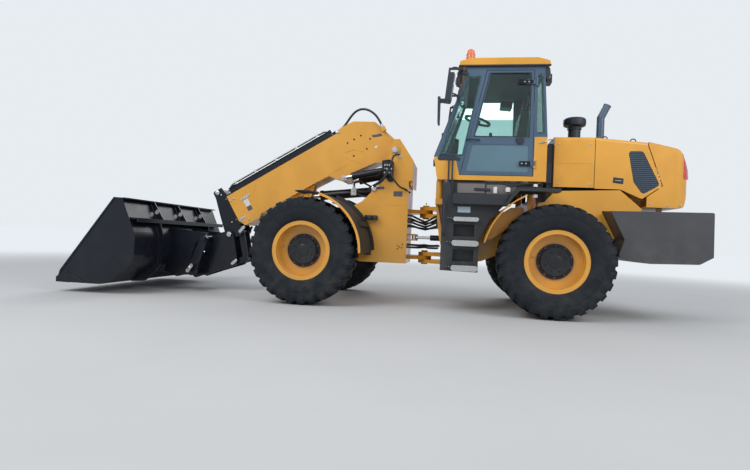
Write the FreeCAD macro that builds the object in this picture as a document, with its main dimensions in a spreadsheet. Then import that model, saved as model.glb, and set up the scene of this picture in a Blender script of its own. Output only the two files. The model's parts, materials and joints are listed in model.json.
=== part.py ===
import FreeCAD, Part
import math
import os
import Sketcher
from FreeCAD import Vector

# Articulated loader with a telescopic boom and a bucket.
# X points forward, Y to the left, Z up; lengths in millimetres, angles in degrees.
# Side profiles are drawn from a datum midway between the axles, on the ground.
SIZES = {
    # wheels
    "wheelbase": 3044, "track": 1963, "tyre_radius": 675, "tyre_width": 445,
    "bead_radius": 334, "flange_radius": 368, "rim_width": 356, "rim_wall": 14,
    "disc_offset": 20, "disc_wall": 22, "hub_radius": 196, "hub_face": 25,
    "dish": 135, "seat_gap": 0.3,
    # overall ends
    "bucket_reach": 1881, "weight_rear": -3268,
    # articulation
    "hitch_x": 60, "hitch_pin": 45, "hitch_low": 600, "hitch_high": 1230, "lug_wall": 50,
    "hitch_gap": 1,
    # front frame
    "tower_half": 375, "plate": 30, "frame_floor": 540, "tower_top": 2221, "tower_rear": 238,
    "frame_rear": 288, "waist_z": 1662, "axle_seat": 860, "fork_wall": 24,
    "guard_room": 60, "rear_room": 160,
    # boom pivot and boom
    "pivot_x": 490, "pivot_z": 2070, "droop": 30.3, "pivot_pin": 42, "boom_half": 200,
    "boom_top": 657, "boom_belly": 190, "boom_wall": 14, "boom_front": 2482, "boom_rear": 62,
    "boom_gap": 4, "head_step": 600, "inner_wall": 12,
    "collar": 330,
    # nose, at the end of the telescope
    "nose_half": 150, "nose_top": 827, "tilt_u": 2708, "tilt_v": 152, "tilt_pin": 40,
    "ear_u": 2600, "ear_v": 790,
    # cylinders
    "lift_x": 760, "lift_z": 1540, "lift_u": 1450, "lift_v": 110, "lift_barrel": 66,
    "lift_rod": 38, "lift_stroke_room": 760,
    "level_x": 560, "level_z": 1820, "level_u": 808, "level_v": 33, "level_barrel": 48,
    "level_rod": 26, "level_y": 272,
    "tele_barrel": 52, "tele_rod": 30, "tele_v": 730,
    "steer_y": 215, "steer_z": 900, "steer_back": 330, "steer_fore": 88, "steer_lug": 18,
    "steer_barrel": 38, "steer_rod": 20,
    "eye_half": 28, "eye_gap": 1,
    # tilt linkage
    "lever_u": 2557, "lever_v": 121, "lever_du": 126, "lever_dv": -390, "lever_wall": 25,
    "lever_pin": 28, "link_wall": 22, "link_pin": 24, "link_gap": 4, "ear_wall": 30, "coupler_half": 420,
    "open_gap": 1, "hook_x": 290, "hook_z": -70, "hook_r": 38, "lock_x": 451, "lock_z": -502, "lock_r": 30,
    # bucket
    "bucket_half": 1250, "bucket_drop": 711, "bucket_wall": 20,
    # cab
    "cab_half": 775, "cab_floor": 1640, "cab_front": -102, "cab_rear": -1428,
    "hose_radius": 16, "cab_post": 45, "door_gap": 6, "door_hinge_x": -1278, "glass": 8, "roof_half": 800,
    "roof_top": 3165, "roof_low": 3069,
    "sill": 1700, "belt": 2188,
    # hood
    "hood_half": 600, "hood_front": -1546, "hood_split": -2030, "hood_rear": -3150,
    "hood_top": 2232, "hood_low": 1600, "skin": 12, "spine_half": 260,
    # rear frame
    "rail_half": 400, "rail_low": 620, "rail_high": 1290, "rear_face": -86,
    "weight_half": 950, "engine_low": 1000, "engine_high": 1950,
}

doc = FreeCAD.newDocument("Loader")
sheet = doc.addObject("Spreadsheet::Sheet", "Sizes")
for row, (alias, number) in enumerate(SIZES.items(), 1):
    sheet.set("A%d" % row, alias)
    sheet.set("B%d" % row, str(number))
    sheet.setAlias("B%d" % row, alias)
doc.recompute()


class Dim:
    """A length or angle: its value and the sheet formula that gives it."""

    def __init__(self, value, text):
        self.value, self.text = float(value), text

    def __add__(self, other):
        other = dim(other)
        return Dim(self.value + other.value, "(%s + %s)" % (self.text, other.text))

    def __sub__(self, other):
        other = dim(other)
        return Dim(self.value - other.value, "(%s - %s)" % (self.text, other.text))

    def __mul__(self, other):
        other = dim(other)
        return Dim(self.value * other.value, "(%s * %s)" % (self.text, other.text))

    def __truediv__(self, other):
        other = dim(other)
        return Dim(self.value / other.value, "(%s / %s)" % (self.text, other.text))

    def __neg__(self):
        return Dim(-self.value, "(-%s)" % self.text)

    __radd__ = __add__
    __rmul__ = __mul__

    def __rsub__(self, other):
        return dim(other) - self


def dim(x):
    return x if isinstance(x, Dim) else Dim(x, repr(float(x)) if x >= 0 else "(%r)" % float(x))


def cos(a):
    return Dim(math.cos(math.radians(a.value)), "cos(%s)" % a.text)


def sin(a):
    return Dim(math.sin(math.radians(a.value)), "sin(%s)" % a.text)


class Sizes:
    def __getattr__(self, alias):
        return Dim(SIZES[alias], "Sizes.%s" % alias)


S = Sizes()
FRONT = S.wheelbase / 2
REAR = -S.wheelbase / 2
ZERO = dim(0)


def bind(obj, path, value):
    obj.setExpression(path, dim(value).text)


def seat(obj, x, y, z, axis=None, angle=None):
    """Place an object; x counts from the datum between the axles."""
    x, y, z = dim(x) + SHIFT, dim(y), dim(z)
    turn = FreeCAD.Rotation(Vector(*(axis or (0, 0, 1))), angle.value if angle else 0)
    obj.Placement = FreeCAD.Placement(Vector(x.value, y.value, z.value), turn)
    bind(obj, "Placement.Base.x", x)
    bind(obj, "Placement.Base.y", y)
    bind(obj, "Placement.Base.z", z)
    if angle and axis:
        bind(obj, "Placement.Rotation.Angle", angle)
    return obj


def boom_at(u, v):
    """Datum coordinates of a point u along and v above the boom's pivot line."""
    u, v = dim(u), dim(v)
    c, s = cos(S.droop), sin(S.droop)
    return S.pivot_x + u * c + v * s, S.pivot_z - u * s + v * c


BOOM = (S.pivot_x, S.pivot_z, S.droop)
TX, TZ = boom_at(S.tilt_u, S.tilt_v)
TILT = (TX, TZ, ZERO)                            # the coupler and bucket are drawn from here
SHIFT = -(TX + S.bucket_reach + S.weight_rear) / 2    # datum to the middle of the machine


def outline(sketch, points):
    """Closed polygon; a point (x, z, r) has its corner rounded with radius r."""
    pts = [(dim(p[0]), dim(p[1]), dim(p[2]) if len(p) > 2 else None) for p in points]
    n = len(pts)
    xy = [Vector(p[0].value, p[1].value, 0) for p in pts]
    enter, leave, arcs = [], [], []
    for i, p in enumerate(pts):
        here, before, after = xy[i], xy[i - 1], xy[(i + 1) % n]
        if p[2] is None:
            enter.append(here), leave.append(here), arcs.append(None)
            continue
        a, b = (here - before).normalize(), (after - here).normalize()
        turn = a.getAngle(b)
        back = p[2].value * math.tan(turn / 2)
        t1, t2 = here - a * back, here + b * back
        left = a.cross(b).z > 0
        side = Vector(-a.y, a.x, 0) if left else Vector(a.y, -a.x, 0)
        centre = t1 + side * p[2].value
        first, last = (t1, t2) if left else (t2, t1)
        a1 = math.atan2(first.y - centre.y, first.x - centre.x)
        a2 = math.atan2(last.y - centre.y, last.x - centre.x)
        if a2 < a1:
            a2 += 2 * math.pi
        circle = Part.Circle(centre, Vector(0, 0, 1), p[2].value)
        enter.append(t1), leave.append(t2)
        arcs.append((Part.ArcOfCircle(circle, a1, a2), left))
    lines = [sketch.addGeometry(Part.LineSegment(leave[i], enter[(i + 1) % n]), False)
             for i in range(n)]
    C = Sketcher.Constraint
    for i, p in enumerate(pts):
        before = lines[i - 1]
        if arcs[i] is None:
            sketch.addConstraint(C("Coincident", before, 2, lines[i], 1))
            spot, end = lines[i], 1
        else:
            arc = sketch.addGeometry(arcs[i][0], False)
            left = arcs[i][1]
            sketch.addConstraint(C("Tangent", before, 2, arc, 1 if left else 2))
            sketch.addConstraint(C("Tangent", lines[i], 1, arc, 2 if left else 1))
            c = sketch.addConstraint(C("Radius", arc, p[2].value))
            sketch.setExpression("Constraints[%d]" % c, p[2].text)
            spot = sketch.addGeometry(Part.Point(xy[i]), True)
            end = 1
            sketch.addConstraint(C("PointOnObject", spot, 1, before))
            sketch.addConstraint(C("PointOnObject", spot, 1, lines[i]))
        for kind, k in (("DistanceX", 0), ("DistanceY", 1)):
            c = sketch.addConstraint(C(kind, -1, 1, spot, end, p[k].value))
            sketch.setExpression("Constraints[%d]" % c, p[k].text)


def drill(sketch, holes):
    C = Sketcher.Constraint
    for x, z, r in holes:
        x, z, r = dim(x), dim(z), dim(r)
        g = sketch.addGeometry(Part.Circle(Vector(x.value, z.value, 0), Vector(0, 0, 1), r.value), False)
        c = sketch.addConstraint(C("Radius", g, r.value))
        sketch.setExpression("Constraints[%d]" % c, r.text)
        for kind, value in (("DistanceX", x), ("DistanceY", z)):
            c = sketch.addConstraint(C(kind, -1, 1, g, 3, value.value))
            sketch.setExpression("Constraints[%d]" % c, value.text)


def new_body(name, role):
    body = doc.addObject("PartDesign::Body", name)
    sketch = body.newObject("Sketcher::SketchObject", name + "_outline")
    plane = [f for f in body.Origin.OriginFeatures if f.Role == role][0]
    sketch.AttachmentSupport = [(plane, "")]
    sketch.MapMode = "FlatFace"
    return body, sketch


def plate(name, points, y0, y1, holes=(), frame=None):
    """A side profile padded from y0 to y1; frame is a pivot (x, z, droop) to draw it from."""
    y0, y1 = dim(y0), dim(y1)
    body, sketch = new_body(name, "XZ_Plane")
    outline(sketch, points)
    drill(sketch, holes)
    pad = body.newObject("PartDesign::Pad", name + "_pad")
    pad.Profile = sketch
    pad.Midplane = True
    bind(pad, "Length", y1 - y0)
    sketch.Visibility = False
    mid = (y0 + y1) / 2
    if frame:
        return seat(body, frame[0], mid, frame[1], (0, 1, 0), frame[2])
    return seat(body, 0, mid, 0)


def slab(name, points, z0, z1, holes=()):
    """A plan-view profile padded from z0 to z1."""
    z0, z1 = dim(z0), dim(z1)
    body, sketch = new_body(name, "XY_Plane")
    outline(sketch, points)
    drill(sketch, holes)
    pad = body.newObject("PartDesign::Pad", name + "_pad")
    pad.Profile = sketch
    bind(pad, "Length", z1 - z0)
    return seat(body, 0, 0, z0)


def turned(name, points, x, y, z):
    """A ring or disc about an axle along Y; points are (radius, distance along Y)."""
    body, sketch = new_body(name, "XY_Plane")
    outline(sketch, points)
    turn = body.newObject("PartDesign::Revolution", name + "_turn")
    turn.Profile = sketch
    turn.ReferenceAxis = (sketch, ["V_Axis"])
    turn.Angle = 360
    return seat(body, x, y, z)


def box(name, x0, x1, y0, y1, z0, z1):
    x0, x1, y0, y1, z0, z1 = [dim(k) for k in (x0, x1, y0, y1, z0, z1)]
    b = doc.addObject("Part::Box", name)
    bind(b, "Length", x1 - x0)
    bind(b, "Width", y1 - y0)
    bind(b, "Height", z1 - z0)
    return seat(b, x0, y0, z0)


def shaft(name, x, z, r, y0, y1):
    """A cylinder along Y."""
    c = doc.addObject("Part::Cylinder", name)
    bind(c, "Radius", r)
    bind(c, "Height", dim(y1) - dim(y0))
    return seat(c, x, y0, z, (-1, 0, 0), dim(90))


def post(name, x, y, r, z0, z1):
    """A cylinder along Z."""
    c = doc.addObject("Part::Cylinder", name)
    bind(c, "Radius", r)
    bind(c, "Height", dim(z1) - dim(z0))
    return seat(c, x, y, z0)


def rod(name, x, y, z, rise, start, end, r):
    """A cylinder in a plane of constant y, from a point, at an angle above forward."""
    start, end = dim(start), dim(end)
    c = doc.addObject("Part::Cylinder", name)
    bind(c, "Radius", r)
    bind(c, "Height", end - start)
    return seat(c, x + start * cos(rise), y, z + start * sin(rise), (0, 1, 0), 90 - rise)


def fuse(name, parts):
    f = doc.addObject("Part::MultiFuse", name)
    f.Shapes = parts
    return f


def group(name, parts):
    g = doc.addObject("Part::Compound", name)
    g.Links = parts
    return g


def welded(name, parts):
    """Plates welded edge to edge: each stays a solid, trimmed where it meets the ones before it."""
    fitted, before = [parts[0]], [parts[0]]
    for i, part in enumerate(parts[1:]):
        others = before[0] if len(before) == 1 else fuse("%s_to%d" % (name, i), before)
        fitted.append(cut("%s_fit%d" % (name, i), part, others))
        before = before + [part]
    return group(name, fitted)


def common(name, base, tool):
    c = doc.addObject("Part::Common", name)
    c.Base, c.Tool = base, tool
    return c


def eased(name, base, radius, wanted):
    """Rounds the straight edges whose middle passes the test."""
    doc.recompute()
    f = doc.addObject("Part::Fillet", name)
    f.Base = base
    f.Edges = [(i + 1, radius, radius) for i, e in enumerate(base.Shape.Edges) if wanted(e.CenterOfMass)]
    return f


def cut(name, base, tool):
    c = doc.addObject("Part::Cut", name)
    c.Base, c.Tool = base, tool
    return c


def mirror(name, source):
    m = doc.addObject("Part::Mirroring", name)
    m.Source = source
    m.Normal = Vector(0, 1, 0)
    return m


def both(name, source):
    """An object and its mirror image on the other side of the machine."""
    return fuse(name, [source, mirror(name + "_far", source)])


NODES = []


def node(name, obj):
    obj.Label = name
    NODES.append((name, obj))
    return obj


# Angle and length between two points, as formulas of the sheet.
def reach(x0, z0, x1, z1):
    dx, dz = x1 - x0, z1 - z0
    rise = Dim(math.degrees(math.atan2(dz.value, dx.value)), "(atan2(%s; %s) / 1 deg)" % (dz.text, dx.text))
    span = Dim(math.hypot(dx.value, dz.value), "sqrt(%s * %s + %s * %s)"
               % (dx.text, dx.text, dz.text, dz.text))
    return rise, span


# Wheels: tyre, rim with its planetary hub, one set per corner.
def wheel(tag, x, side):
    half, w = S.rim_width / 2, S.tyre_width / 2
    y = side * S.track / 2
    tyre = turned("tyre_" + tag, [
        (S.bead_radius + S.seat_gap, -half + 14), (S.flange_radius + 1, -half + 14),
        (S.flange_radius + 1, -half - 6),
        (S.flange_radius + 32, -w + 14, 30),
        (S.tyre_radius - 150, -w, 60), (S.tyre_radius - 26, -w + 12, 26),
        (S.tyre_radius, -w + 52), (S.tyre_radius, w - 52),
        (S.tyre_radius - 26, w - 12, 26), (S.tyre_radius - 150, w, 60),
        (S.flange_radius + 32, w - 14, 30),
        (S.flange_radius + 1, half + 6), (S.flange_radius + 1, half - 14),
        (S.bead_radius + S.seat_gap, half - 14)], x, y, S.tyre_radius)
    node("tyre_" + tag, tyre)
    deep = side * (half - S.disc_offset - S.dish)      # outer face of the disc
    bed = S.bead_radius - S.rim_wall
    rim = turned("rim_ring_" + tag, [
        (bed, -half), (S.flange_radius, -half), (S.flange_radius, -half + 13), (S.bead_radius, -half + 13),
        (S.bead_radius, half - 13), (S.flange_radius, half - 13), (S.flange_radius, half), (bed, half)],
        x, y, S.tyre_radius)
    back = deep - side * S.disc_wall
    eye = S.hub_radius - 20
    disc = turned("disc_" + tag, [(eye, back), (bed + 2, back), (bed + 2, deep), (eye, deep)],
                  x, y, S.tyre_radius)
    node("rim_" + tag, fuse("rim_" + tag, [rim, disc]))
    face, root = deep + side * 62, back - side * 60
    hub = turned("hub_body_" + tag, [
        (ZERO, root), (S.hub_radius - 50, root), (eye - S.seat_gap, back - side * 4),
        (eye - S.seat_gap, face - side * 10), (S.hub_radius - 32, face), (ZERO, face)], x, y, S.tyre_radius)
    near = deep + side * S.seat_gap
    flange = turned("hub_flange_" + tag, [
        (S.hub_radius - 30, near), (S.hub_radius + 14, near), (S.hub_radius + 14, near + side * 20),
        (S.hub_radius - 30, near + side * 20)], x, y, S.tyre_radius)
    node("hub_" + tag, fuse("hub_" + tag, [hub, flange]))


for tag, x, side in (("fl", FRONT, 1), ("fr", FRONT, -1), ("rl", REAR, 1), ("rr", REAR, -1)):
    wheel(tag, x, side)

# Distance from the middle to a hub's inner face.
HUB_IN = S.track / 2 + S.rim_width / 2 - S.disc_offset - S.dish - S.disc_wall - 60


def axle(name, x, pad_top, pad_y):
    """Tapered housing with a round differential bowl and two mounting pads."""
    end = HUB_IN - S.seat_gap
    beam = turned(name + "_beam", [
        (ZERO, -end), (dim(130), -end), (dim(130), -end + 40), (dim(85), -end + 120),
        (dim(110), dim(-260)), (dim(178), dim(-120), 40), (dim(178), dim(120), 40), (dim(110), dim(260)),
        (dim(85), end - 120), (dim(130), end - 40), (dim(130), end), (ZERO, end)], x, 0, S.tyre_radius)
    pads = [box(name + "_pad%d" % i, x - 110, x + 110, pad_y * k - 60, pad_y * k + 60,
                S.tyre_radius + 60, pad_top) for i, k in enumerate((-1, 1))]
    return fuse(name, [beam] + pads)


node("front_axle", axle("front_axle", FRONT, S.axle_seat, S.tower_half - 85))
node("rear_axle", axle("rear_axle", REAR, S.axle_seat, S.rail_half - 90))

# Middle of each fork plate beside the lift cylinder's eyes.
FORK = S.lift_barrel + 2 + S.seat_gap + S.fork_wall / 2

# Front frame: two tall side plates tied by cross plates, the boom pivot at their top.
side_points = [
    (S.frame_rear, S.frame_floor), (dim(930), S.frame_floor, 60), (FRONT - 320, dim(700), 60),
    (FRONT - 220, S.axle_seat + S.seat_gap), (FRONT + 220, S.axle_seat + S.seat_gap),
    (FRONT + 220, dim(1010), 40), (dim(1330), dim(1150), 80),
    (dim(920), dim(1361), 80), (dim(775), dim(1514)), (dim(605), dim(1680)),
    (S.level_x + 70, S.level_z - 40, 30), (S.level_x + 60, S.level_z + 50, 40),
    (S.pivot_x + 15, S.tower_top), (S.pivot_x - 60, S.tower_top), (S.tower_rear, dim(1935)),
    (S.tower_rear, S.waist_z), (S.frame_rear, S.waist_z - 10)]
side = plate("tower_plate", side_points, S.tower_half - S.plate, S.tower_half)
boss = shaft("pivot_boss", S.pivot_x, S.pivot_z, 100, S.boom_half + S.seat_gap, S.tower_half - S.plate + 1)
cap = shaft("pivot_cap", S.pivot_x, S.pivot_z, 62, S.tower_half - 1, S.tower_half + 22)
level_boss = shaft("level_boss", S.level_x, S.level_z, 45, S.level_y + S.level_barrel + 2 + S.seat_gap,
                   S.tower_half + 26)
inner = S.tower_half - S.plate + 1
cross = [
    box("rear_wall", S.frame_rear, S.frame_rear + S.plate, -inner, inner, S.frame_floor, S.waist_z - 60),
    box("floor_plate", S.frame_rear, dim(930), -inner, inner, S.frame_floor, S.frame_floor + S.plate),
    box("front_wall", dim(930), dim(960), -inner, inner, S.frame_floor + 20, dim(1300)),
    box("axle_plate", dim(1180), FRONT + 220, -inner, inner, S.axle_seat + S.seat_gap, dim(900)),
    box("top_tie", S.tower_rear, S.tower_rear + S.plate, -inner, inner, S.waist_z - 62, dim(1930)),
]
lift_base = [plate("lift_lug%d" % i, [
    (dim(935), dim(1200)), (dim(935), dim(1000)), (S.lift_x + 60, S.lift_z - 500),
    (S.lift_x - 90, S.lift_z - 480), (S.lift_x - 70, S.lift_z + 20, 40), (S.lift_x + 40, S.lift_z + 70, 40),
    (S.lift_x + 90, S.lift_z - 20, 40)], k * FORK - 12, k * FORK + 12)
    for i, k in enumerate((-1, 1))]
lift_tie = box("lift_tie", S.lift_x - 100, dim(940), -inner, inner, S.lift_z - 520, S.lift_z - 470)
lift_caps = [shaft("lift_cap%d" % i, S.lift_x, S.lift_z, 32, k * (FORK + 18) - 12,
                   k * (FORK + 18) + 12) for i, k in enumerate((-1, 1))]
front_lugs = [slab("hitch_lug_f%d" % i, [
    (S.frame_rear + 5, dim(-300)), (S.frame_rear + 5, dim(300)), (S.hitch_x - 20, dim(115), 80),
    (S.hitch_x - 115, dim(0), 60), (S.hitch_x - 20, dim(-115), 80)], z, z + S.lug_wall,
    holes=[(S.hitch_x, dim(0), S.hitch_pin + 0.05)]) for i, z in enumerate((S.hitch_low, S.hitch_high))]
fx = S.frame_rear - S.steer_fore
steer_lugs = [slab("steer_lug_f%d%d" % (i, j), [
    (S.frame_rear + 5, kk * (S.steer_y - 60)), (fx - 20, kk * (S.steer_y - 38)),
    (fx - 20, kk * (S.steer_y + 38)),
    (S.frame_rear + 5, kk * (S.steer_y + 60))], S.steer_z + dz, S.steer_z + dz + S.steer_lug)
    for i, kk in enumerate((-1, 1))
    for j, dz in enumerate((-S.eye_half - S.seat_gap - S.steer_lug, S.eye_half + S.seat_gap))]
node("front_frame", welded("front_frame", [
    side, mirror("tower_plate_far", side), boss, mirror("pivot_boss_far", boss), cap,
    mirror("pivot_cap_far", cap), level_boss, mirror("level_boss_far", level_boss)]
    + cross + lift_base + [lift_tie] + lift_caps + front_lugs + steer_lugs))


def guard(name, x, y0, y1, points, thick, room=None):
    """A mudguard: part of a ring over a tyre, kept inside a side profile drawn from the hub."""
    out = S.tyre_radius + (S.guard_room if room is None else room)
    ring = turned(name + "_ring", [(out, y0), (out + thick, y0), (out + thick, y1), (out, y1)],
                  x, 0, S.tyre_radius)
    keep = plate(name + "_keep", points, y0 - 1, y1 + 1, frame=(x, S.tyre_radius, ZERO))
    c = doc.addObject("Part::Common", name + "_arc")
    c.Base, c.Tool = ring, keep
    return c


fender = guard("fender_f", FRONT, S.track / 2 - 190, S.track / 2 + 190,
               [(ZERO, ZERO), (dim(200), dim(1500)), (dim(-1500), dim(1500)), (dim(-1500), dim(40))], 14)
stay = box("fender_stay", dim(815), dim(895), S.tower_half + S.seat_gap, S.track / 2 - 100, dim(1010),
           dim(1070))
node("front_fenders", both("front_fenders", fuse("fender_l", [fender, stay])))

# Outer boom: a box beam open at the front, a deep head at the pivot.
b, top, belly, w = S.boom_half, S.boom_top, S.boom_belly, S.boom_wall
boom_side = [
    (S.boom_rear, dim(528), 60), (dim(-70), dim(150), 90), (dim(-70), dim(-60), 70), (dim(110), dim(-85), 60),
    (dim(330), dim(20)), (dim(700), dim(60)), (S.level_u + 50, S.level_v - 50, 50),
    (S.level_u + 75, S.level_v + 30, 30), (dim(1000), belly - 15), (dim(1300), belly),
    (S.boom_front - 360, belly), (S.boom_front - 300, belly - 40), (S.boom_front - 60, belly - 40),
    (S.boom_front, belly + 60), (S.boom_front, top), (S.head_step, top), (dim(540), dim(700)),
    (dim(330), dim(690), 60)]
shell = plate("boom_shell", boom_side, -b, b, frame=BOOM)
room = plate("boom_room", [(dim(760), belly + w), (S.boom_front + 50, belly + w),
                           (S.boom_front + 50, top - w), (dim(700), top - w), (dim(640), dim(420))],
             -b + w, b - w, frame=BOOM)
gapp = S.boom_gap
pads = [plate("boom_pad%d" % i, [(S.boom_front - 170, v0), (S.boom_front - 20, v0), (S.boom_front - 20, v1),
                                 (S.boom_front - 170, v1)], -b + 60, b - 60, frame=BOOM)
        for i, (v0, v1) in enumerate(((belly + w - 1, belly + w + gapp - S.seat_gap),
                                      (top - w - gapp + S.seat_gap, top - w + 1)))]
blocks = [plate("hose_block_b", [(dim(-26), dim(340)), (dim(36), dim(340)), (dim(36), dim(399)),
                                 (dim(-26), dim(399))],
                b - 1, b + 62, frame=BOOM)]
px, pz = boom_at(0, 0)
bore = shaft("boom_bore", px, pz, S.pivot_pin, -b - 5, b + 5)
cheeks = [plate("boom_cheek%d" % i, [
    (S.lift_u - 190, belly + 4), (S.lift_u - 55, S.lift_v - 50, 40), (S.lift_u + 55, S.lift_v - 50, 40),
    (S.lift_u + 190, belly + 4)], k * FORK - 12, k * FORK + 12, frame=BOOM)
    for i, k in enumerate((-1, 1))]
lx, lz = boom_at(S.lift_u, S.lift_v)
cheek_caps = [shaft("cheek_cap%d" % i, lx, lz, 30, k * (FORK + 18) - 12,
                    k * (FORK + 18) + 12) for i, k in enumerate((-1, 1))]
vx, vz = boom_at(S.level_u, S.level_v)
LEVEL_IN = S.level_y - S.level_barrel - 2 - S.seat_gap
level_bar = shaft("level_bar", vx, vz, 26, -LEVEL_IN, LEVEL_IN)
node("outer_boom", cut("outer_boom", fuse("outer_boom_sum", [cut("boom_hollow", shell, room)]
                                          + pads + blocks + cheeks + cheek_caps + [level_bar]), bore))

# Telescope: the inner box slides in the outer one and carries the black nose.
g, iw = S.boom_gap, S.inner_wall
ib = b - w - g                                   # inner box half width
ilow, ihigh = belly + w + g, top - w - g
tube = plate("inner_tube", [(dim(900), ilow), (S.boom_front + 30, ilow), (S.boom_front + 30, ihigh),
                            (dim(900), ihigh)], -ib, ib, frame=BOOM)
tube_room = plate("inner_room", [(dim(880), ilow + iw), (S.boom_front + 5, ilow + iw),
                                 (S.boom_front + 5, ihigh - iw), (dim(880), ihigh - iw)],
                  -ib + iw, ib - iw, frame=BOOM)
TU, TV = S.tilt_u, S.tilt_v
JU, JV = S.lever_u, S.lever_v
nose_plate = [
    (S.boom_front + 6, S.nose_top - 110, 30), (S.boom_front + 30, S.nose_top),
    (S.ear_u + 60, S.nose_top, 30), (S.ear_u + 60, S.ear_v - 60, 30), (S.ear_u + 130, dim(420), 60),
    (TU + 62, TV + 50, 55), (TU + 45, TV - 62, 50), (TU - 50, TV - 68, 50), (JU + 10, JV - 62, 40),
    (JU - 60, JV - 20, 40), (S.boom_front + 6, dim(240))]
cheek = plate("nose_cheek", nose_plate, S.nose_half - 20, S.nose_half, frame=BOOM,
              holes=[(S.ear_u, S.ear_v, 22)])
backing = plate("nose_back", [(S.boom_front + 6, dim(245)), (S.boom_front + 34, dim(245)),
                              (S.boom_front + 34, S.nose_top - 30), (S.boom_front + 6, S.nose_top - 100)],
                -S.nose_half + 1, S.nose_half - 1, frame=BOOM)
web = plate("nose_web", [(S.boom_front + 30, dim(500)), (S.ear_u + 100, dim(500)), (S.ear_u + 100, dim(525)),
                         (S.boom_front + 30, dim(525))], -S.nose_half + 1, S.nose_half - 1, frame=BOOM)
jx, jz = boom_at(JU, JV)
pins = [shaft("lever_pin", jx, jz, S.lever_pin, -S.nose_half, S.nose_half),
        shaft("tilt_pin", TX, TZ, S.tilt_pin, -S.nose_half - S.ear_wall - 16, S.nose_half + S.ear_wall + 16)]
node("inner_boom", welded("inner_boom", [cut("inner_hollow", tube, tube_room), cheek,
                                         mirror("nose_cheek_far", cheek), backing, web] + pins))

# Telescope cylinder on top of the boom: barrel on the outer boom, rod on the nose.
tv = S.tele_v
tx, tz = boom_at(S.head_step + 60, tv)
down = -S.droop
barrel = rod("tele_tube", tx, ZERO, tz, down, 40, S.boom_front - S.head_step - 130, S.tele_barrel)
feet = [plate("tele_foot%d" % i, [(u - 45, top + S.seat_gap), (u + 45, top + S.seat_gap),
                                  (u + 30, tv + S.tele_barrel + 12, 10),
                                  (u - 30, tv + S.tele_barrel + 12, 10)], -70, 70, frame=BOOM)
        for i, u in enumerate((S.head_step + 120, S.boom_front - 140))]
port = plate("tele_port", [(dim(633.4), dim(668)), (dim(700), dim(668)), (dim(700), dim(735)),
                           (dim(633.4), dim(735))],
             38, 84, frame=BOOM)
tray = plate("tele_tray", [(S.head_step + 40, top + S.seat_gap), (S.boom_front - 40, top + S.seat_gap),
                           (S.boom_front - 40, top + 14),
                           (S.head_step + 40, top + 14)], -120, 120, frame=BOOM)
hole = rod("tele_bore", tx, ZERO, tz, down, 90, S.boom_front - S.head_step + 200, S.tele_rod + 2)
fittings = [cut("tele_fitting%d" % i, part, barrel) for i, part in enumerate(feet + [port])]
node("telescope_barrel", welded("telescope_barrel", [cut("tele_bored", barrel, hole), tray] + fittings))
rod_end = S.boom_front + 6 - S.seat_gap - S.head_step - 60
tele = rod("tele_rod_bar", tx, ZERO, tz, down, 300, rod_end, S.tele_rod)
node("telescope_rod", tele)


def cylinder(name, x0, z0, x1, z1, y, bore_r, rod_r, retract, half):
    """Barrel pinned at (x0, z0), rod eye at (x1, z1); returns the two solids."""
    rise, span = reach(x0, z0, x1, z1)
    mouth = span - retract
    eye = shaft(name + "_eye", x0, z0, bore_r * 0.8, y - half, y + half)
    tube_part = rod(name + "_tube", x0, y, z0, rise, bore_r * 0.5, mouth, bore_r)
    gland = rod(name + "_gland", x0, y, z0, rise, mouth - 45, mouth, bore_r + 8)
    inside = rod(name + "_inside", x0, y, z0, rise, bore_r + 40, mouth + 10, rod_r + 1.5)
    barrel_part = cut(name + "_barrel", fuse(name + "_barrel_sum", [eye, tube_part, gland]), inside)
    stem = rod(name + "_stem", x0, y, z0, rise, bore_r + 60, span - rod_r * 0.7, rod_r)
    end = shaft(name + "_end", x1, z1, rod_r * 1.35, y - half, y + half)
    return barrel_part, fuse(name + "_rod", [stem, end])


lift_barrel, lift_rod = cylinder("lift", S.lift_x, S.lift_z, lx, lz, ZERO, S.lift_barrel, S.lift_rod, 200,
                                 S.lift_barrel + 2)
node("lift_barrel", lift_barrel)
node("lift_rod", lift_rod)
lb, lr = cylinder("level", S.level_x, S.level_z, vx, vz, S.level_y, S.level_barrel, S.level_rod, 120,
                  S.level_barrel + 2)
node("levelling_barrels", group("levelling_barrels", [lb, mirror("level_barrel_far", lb)]))
node("levelling_rods", group("levelling_rods", [lr, mirror("level_rod_far", lr)]))

# Tilt linkage, a parallelogram: levers on the nose, a link to the coupler's lugs.
def strap(name, p, q, r0, r1, y0, y1, holes, frame=BOOM):
    """Flat bar with rounded ends between two points."""
    du, dv = q[0] - p[0], q[1] - p[1]
    span = math.hypot(du.value, dv.value)
    tx, ty = du / span, dv / span
    corners = [(p, r0, -1, 1), (p, r0, -1, -1), (q, r1, 1, -1), (q, r1, 1, 1)]
    pts = [(c[0] + tx * (r * along) - ty * (r * side), c[1] + ty * (r * along) + tx * (r * side),
            dim(r * 0.9))
           for c, r, along, side in corners]
    return plate(name, pts, y0, y1, frame=frame, holes=holes)


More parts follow.
